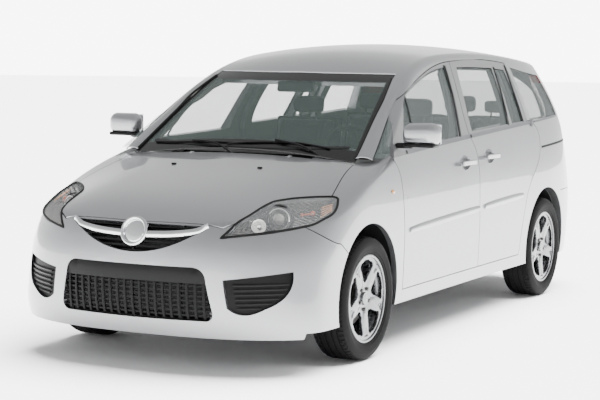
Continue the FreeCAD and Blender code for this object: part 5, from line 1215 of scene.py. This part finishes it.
def swollen(size, radius, voxel, channels):
    """A foam pad: a rounded block that cloth pressure fills, with sewn channels pressed in after."""
    scene = bpy.context.scene
    pad = in_scene("pad", mesh_of("pad", rounded_box(size, radius, (0, 0, 0), 3)))
    remesh = pad.modifiers.new("even", "REMESH")
    remesh.mode = "VOXEL"
    remesh.voxel_size = voxel
    even = with_modifiers(pad)
    pad.modifiers.clear()
    pad.data = even
    start = [v.co.copy() for v in even.vertices]
    full = even
    cloth = pad.modifiers.new("cloth", "CLOTH")
    cloth.settings.use_pressure = True
    cloth.settings.uniform_pressure_force = 4.0
    cloth.settings.effector_weights.gravity = 0
    cloth.point_cache.frame_start, cloth.point_cache.frame_end = 1, SWELL_FRAMES
    for number in range(1, SWELL_FRAMES + 1):
        scene.frame_set(number)
    full = with_modifiers(pad)
    scene.frame_set(1)
    bm = bmesh_of(full)
    bpy.data.objects.remove(pad)
    for vert, rest in zip(bm.verts, start):
        way = vert.co - rest
        if way.length > SWELL_LIMIT:
            vert.co = rest + way.normalized() * SWELL_LIMIT
    bmesh.ops.smooth_vert(bm, verts=bm.verts[:], factor=0.5, use_axis_x=True, use_axis_y=True,
                          use_axis_z=True)
    bmesh.ops.subdivide_edges(bm, edges=bm.edges[:], cuts=1, smooth=0.6, use_grid_fill=True)
    bm.normal_update()
    for vert in bm.verts:
        near = min((abs(abs(vert.co.x) - place) for place in channels), default=1.0)
        vert.co -= vert.normal * CHANNEL * math.exp(-(near / CHANNEL) ** 2)
    return bm


def placed(pad, scale, turn, middle):
    bm = pad.copy()
    bmesh.ops.scale(bm, vec=scale, verts=bm.verts[:])
    return moved(bm, middle, turn)


def seat_base(x, front, top, floor, width, back):
    """The box, pan, back plate, headrest posts and side rails that carry one seat's pads."""
    whole = SEAT_WIDTH * width
    plate = rounded_box((whole - 0.05, 0.016, back * 0.86), 0.007, Vector((0, 0, 0)), 2)
    parts = [
        rounded_box((whole / 2, 0.300, top - PAD - floor - 0.004), 0.012,
                    Vector((x, front + 0.218, (top - PAD + floor + 0.004) / 2)), 2),
        rounded_box((whole - 0.06, 0.44, 0.030), 0.012, Vector((x, front + 0.262, top - PAD + 0.012)), 2),
        moved(plate, Vector((x, front + 0.637, top + back * 0.47)), upright_turn)]
    for post in (-0.055, 0.055):
        foot = Vector((x + post, front + 0.665, top + back * 0.84))
        parts.append(tube_along([foot, foot + Vector((0, 0.014, back * 0.12))], 0.006))
    for edge in (-1, 1):
        rail_x = x + edge * (whole / 2 - 0.014)
        parts.append(rounded_box((0.022, 0.40, 0.085), 0.010,
                                 Vector((rail_x, front + 0.27, top - PAD + 0.042)), 3))
    return parts


cushion_pad = swollen((SEAT_WIDTH - 0.075, 0.455, 0.075), 0.030, 0.0125, (0.145,))
back_pad = swollen((SEAT_WIDTH - 0.085, 0.065, 0.575), 0.028, 0.0125, (0.135,))
head_pad = swollen((0.215, 0.060, 0.105), 0.028, 0.0100, ())
upright_turn = Matrix.Rotation(-RAKE, 3, "X")
flat_turn = Matrix.Rotation(math.radians(-3.5), 3, "X")
no_turn = Matrix.Identity(3)
# Each row: its front edge, how far its seats stand from the middle, share of the full width,
# its floor, and share of the full height
SEAT_ROWS = {
    "front_seats": (-0.330, 0.365, 1.0, 0.330, 1.0),
    "second_row_seats": (0.540, 0.31025, 0.9, 0.330, 1.0),
    "third_row_seats": (1.270, 0.31025, 0.9, 0.470, 0.8)}
for row, (front, offset, width, floor, height) in SEAT_ROWS.items():
    top = floor + 0.26 * height
    back = SEAT_BACK * height
    bases = []
    for hand, side in (("left", LEFT), ("right", RIGHT)):
        x = side * offset
        pads = {
            "cushion": placed(cushion_pad, (width, 1, 1), flat_turn, (x, front + 0.262, top - 0.055)),
            "back": placed(back_pad, (width, 1, height), upright_turn,
                           (x, front + 0.592, top + back * 0.475 - 0.006)),
            "headrest": placed(head_pad, (1, 1, height), no_turn, (x, front + 0.681, top + back * 1.010))}
        for part, bm in pads.items():
            piece = new_piece(f"{row.replace('_seats', '')}_{part}_{hand}", bm, fabric, "body", sharp=80,
                              slot="seat_fabric")
        bases += seat_base(x, front, top, floor, width, back)
    new_piece(row + "_frames", joined(*bases), dark_trim, "body", slot="black_plastic", stands_for=[row])
for pad in (cushion_pad, back_pad, head_pad):
    pad.free()


# Door mirrors, cabin mirror and the rear

MIRROR_DEPTH = 0.104


def mirror_shell():
    """A housing that narrows forward, with an arched top."""
    bm = rounded_box((0.205, MIRROR_DEPTH, 0.128), 0.040, (0, 0, 0), 6)
    for vert in bm.verts:
        ahead = max(0.0, 0.5 - vert.co.y / MIRROR_DEPTH)
        vert.co.z *= 1 - 0.20 * ahead * ahead
        vert.co.x = vert.co.x * (1 - 0.14 * ahead * ahead) - 0.012 * ahead * ahead
        vert.co.z -= 0.016 * (vert.co.x / 0.10) ** 2 * (1 if vert.co.z > 0 else 0)
    return moved(bm, Vector((0.928, -0.894, 1.146)))


mirror_foot = rounded_box((0.105, 0.050, 0.030), 0.013, Vector((0.832, -0.890, 1.079)), 4)
mirror_base = rounded_box((0.175, 0.085, 0.020), 0.009, Vector((0.925, -0.892, 1.083)), 4)
shells = pair("mirror_shell", mirror_shell(), mirror_finish(), door_bodies, slot="silver_paint")
pair("mirror_foot", joined(mirror_foot, mirror_base), satin_black, door_bodies, slot="black_plastic")
for shell, node in zip(shells, ("door_mirror_left", "door_mirror_right")):
    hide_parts(node)

inner_mirror = rounded_box((0.235, 0.028, 0.062), 0.013, Vector((0, -0.545, 1.368)), 4,
                           Matrix.Rotation(math.radians(-12), 3, "X"))
inner_arm = tube_along([Vector((0, -0.540, 1.385)), Vector((0, -0.515, 1.405)),
                        Vector((0, -0.490, 1.412))], 0.008)
new_piece("cabin_mirror", joined(inner_mirror, inner_arm), satin_black, "body", slot="black_plastic")

gate_skin = from_rear(skin_of("tailgate", "tailgate_glass"))
garnish = laid_strip([(-0.36, 0.935), (0, 0.945), (0.36, 0.935)], 0.036, 0.010, gate_skin, 80, 6,
                     0.0, 0.1, 0.8)
new_piece("gate_garnish", garnish, chrome, "tailgate", slot="lamp_inside")
rear_blade = laid_strip([(-0.02, 1.078), (0.16, 1.085), (0.36, 1.082)], 0.012, 0.008, gate_skin, 40, 3,
                        0.004)
rear_arm = laid_strip([(0.0, 1.035), (0.08, 1.062), (0.18, 1.088)], 0.016, 0.012, gate_skin, 24, 3, 0.010)
new_piece("rear_wiper", joined(rear_blade, rear_arm), satin_black, "tailgate", slot="black_plastic")


# Camera, floor and light

def add_camera():
    ahead = Vector((math.cos(CAMERA_PITCH) * math.cos(CAMERA_YAW),
                    math.cos(CAMERA_PITCH) * math.sin(CAMERA_YAW),
                    math.sin(CAMERA_PITCH)))
    level = ahead.cross(Z_AXIS).normalized()
    above = level.cross(ahead)
    right = level * math.cos(CAMERA_ROLL) + above * math.sin(CAMERA_ROLL)
    up = above * math.cos(CAMERA_ROLL) - level * math.sin(CAMERA_ROLL)
    data = bpy.data.cameras.new("photo_camera")
    data.lens = CAMERA_LENS
    data.sensor_width = 36.0
    data.sensor_fit = "HORIZONTAL"
    data.clip_end = 200
    camera = in_scene("photo_camera", data)
    turn = Matrix((right, up, -ahead)).transposed()
    camera.matrix_world = Matrix.Translation(CAMERA_PLACE) @ turn.to_4x4()
    bpy.context.scene.camera = camera


FLOOR_RADIUS = 70
FLOOR_GAP = 0.0005


def add_floor():
    ground = Finish("studio_floor", (0.93, 0.93, 0.93), 0.7)
    grain = ground.noise(18, 3)
    ground.color(ground.mix(grain, (0.92, 0.92, 0.92), (0.94, 0.94, 0.94)))
    bm = bmesh.new()
    bmesh.ops.create_circle(bm, cap_ends=True, segments=96, radius=FLOOR_RADIUS)
    bmesh.ops.translate(bm, vec=(0, 0, -FLOOR_GAP), verts=bm.verts[:])
    mesh = mesh_of("studio_floor", bm)
    mesh.materials.append(ground.material)
    floor = in_scene("studio_floor", mesh)


# The studio as the car reflects it: place from low to high, and brightness
STUDIO_STOPS = ((0.24, 1.8), (0.36, 1.05), (0.55, 0.80))
BACKDROP_BRIGHTNESS = 8.0
SKY_ENERGY = 20.0


def add_light():
    world = bpy.data.worlds.new("studio")
    world.use_nodes = True
    tree = world.node_tree
    back = tree.nodes["Background"]
    place = tree.nodes.new("ShaderNodeTexCoord")
    split = tree.nodes.new("ShaderNodeSeparateXYZ")
    ramp = tree.nodes.new("ShaderNodeValToRGB")
    tree.links.new(place.outputs["Generated"], split.inputs[0])
    tree.links.new(split.outputs["Z"], ramp.inputs["Fac"])
    stops = ramp.color_ramp.elements
    stops[0].position, stops[0].color = 0.0, (1.85, 1.86, 1.88, 1)
    stops[1].position, stops[1].color = 1.0, (0.62, 0.62, 0.63, 1)
    for position, level in STUDIO_STOPS:
        stop = stops.new(position)
        stop.color = (level, level * 1.005, level * 1.01, 1)
    tree.links.new(ramp.outputs["Color"], back.inputs["Color"])
    back.inputs["Strength"].default_value = 1.0
    plain = tree.nodes.new("ShaderNodeBackground")
    plain.inputs["Color"].default_value = (1, 1, 1, 1)
    plain.inputs["Strength"].default_value = BACKDROP_BRIGHTNESS
    sight = tree.nodes.new("ShaderNodeLightPath")
    both = tree.nodes.new("ShaderNodeMixShader")
    tree.links.new(sight.outputs["Is Camera Ray"], both.inputs[0])
    tree.links.new(back.outputs[0], both.inputs[1])
    tree.links.new(plain.outputs[0], both.inputs[2])
    tree.links.new(both.outputs[0], tree.nodes["World Output"].inputs["Surface"])
    bpy.context.scene.world = world
    sky = bpy.data.lights.new("soft_sky", "SUN")
    sky.energy = SKY_ENERGY
    sky.angle = math.radians(58)
    lamp = in_scene("soft_sky", sky)
    lamp.rotation_euler = (math.radians(-14), math.radians(12), 0)
    lamp.visible_glossy = False


add_camera()
add_floor()
add_light()
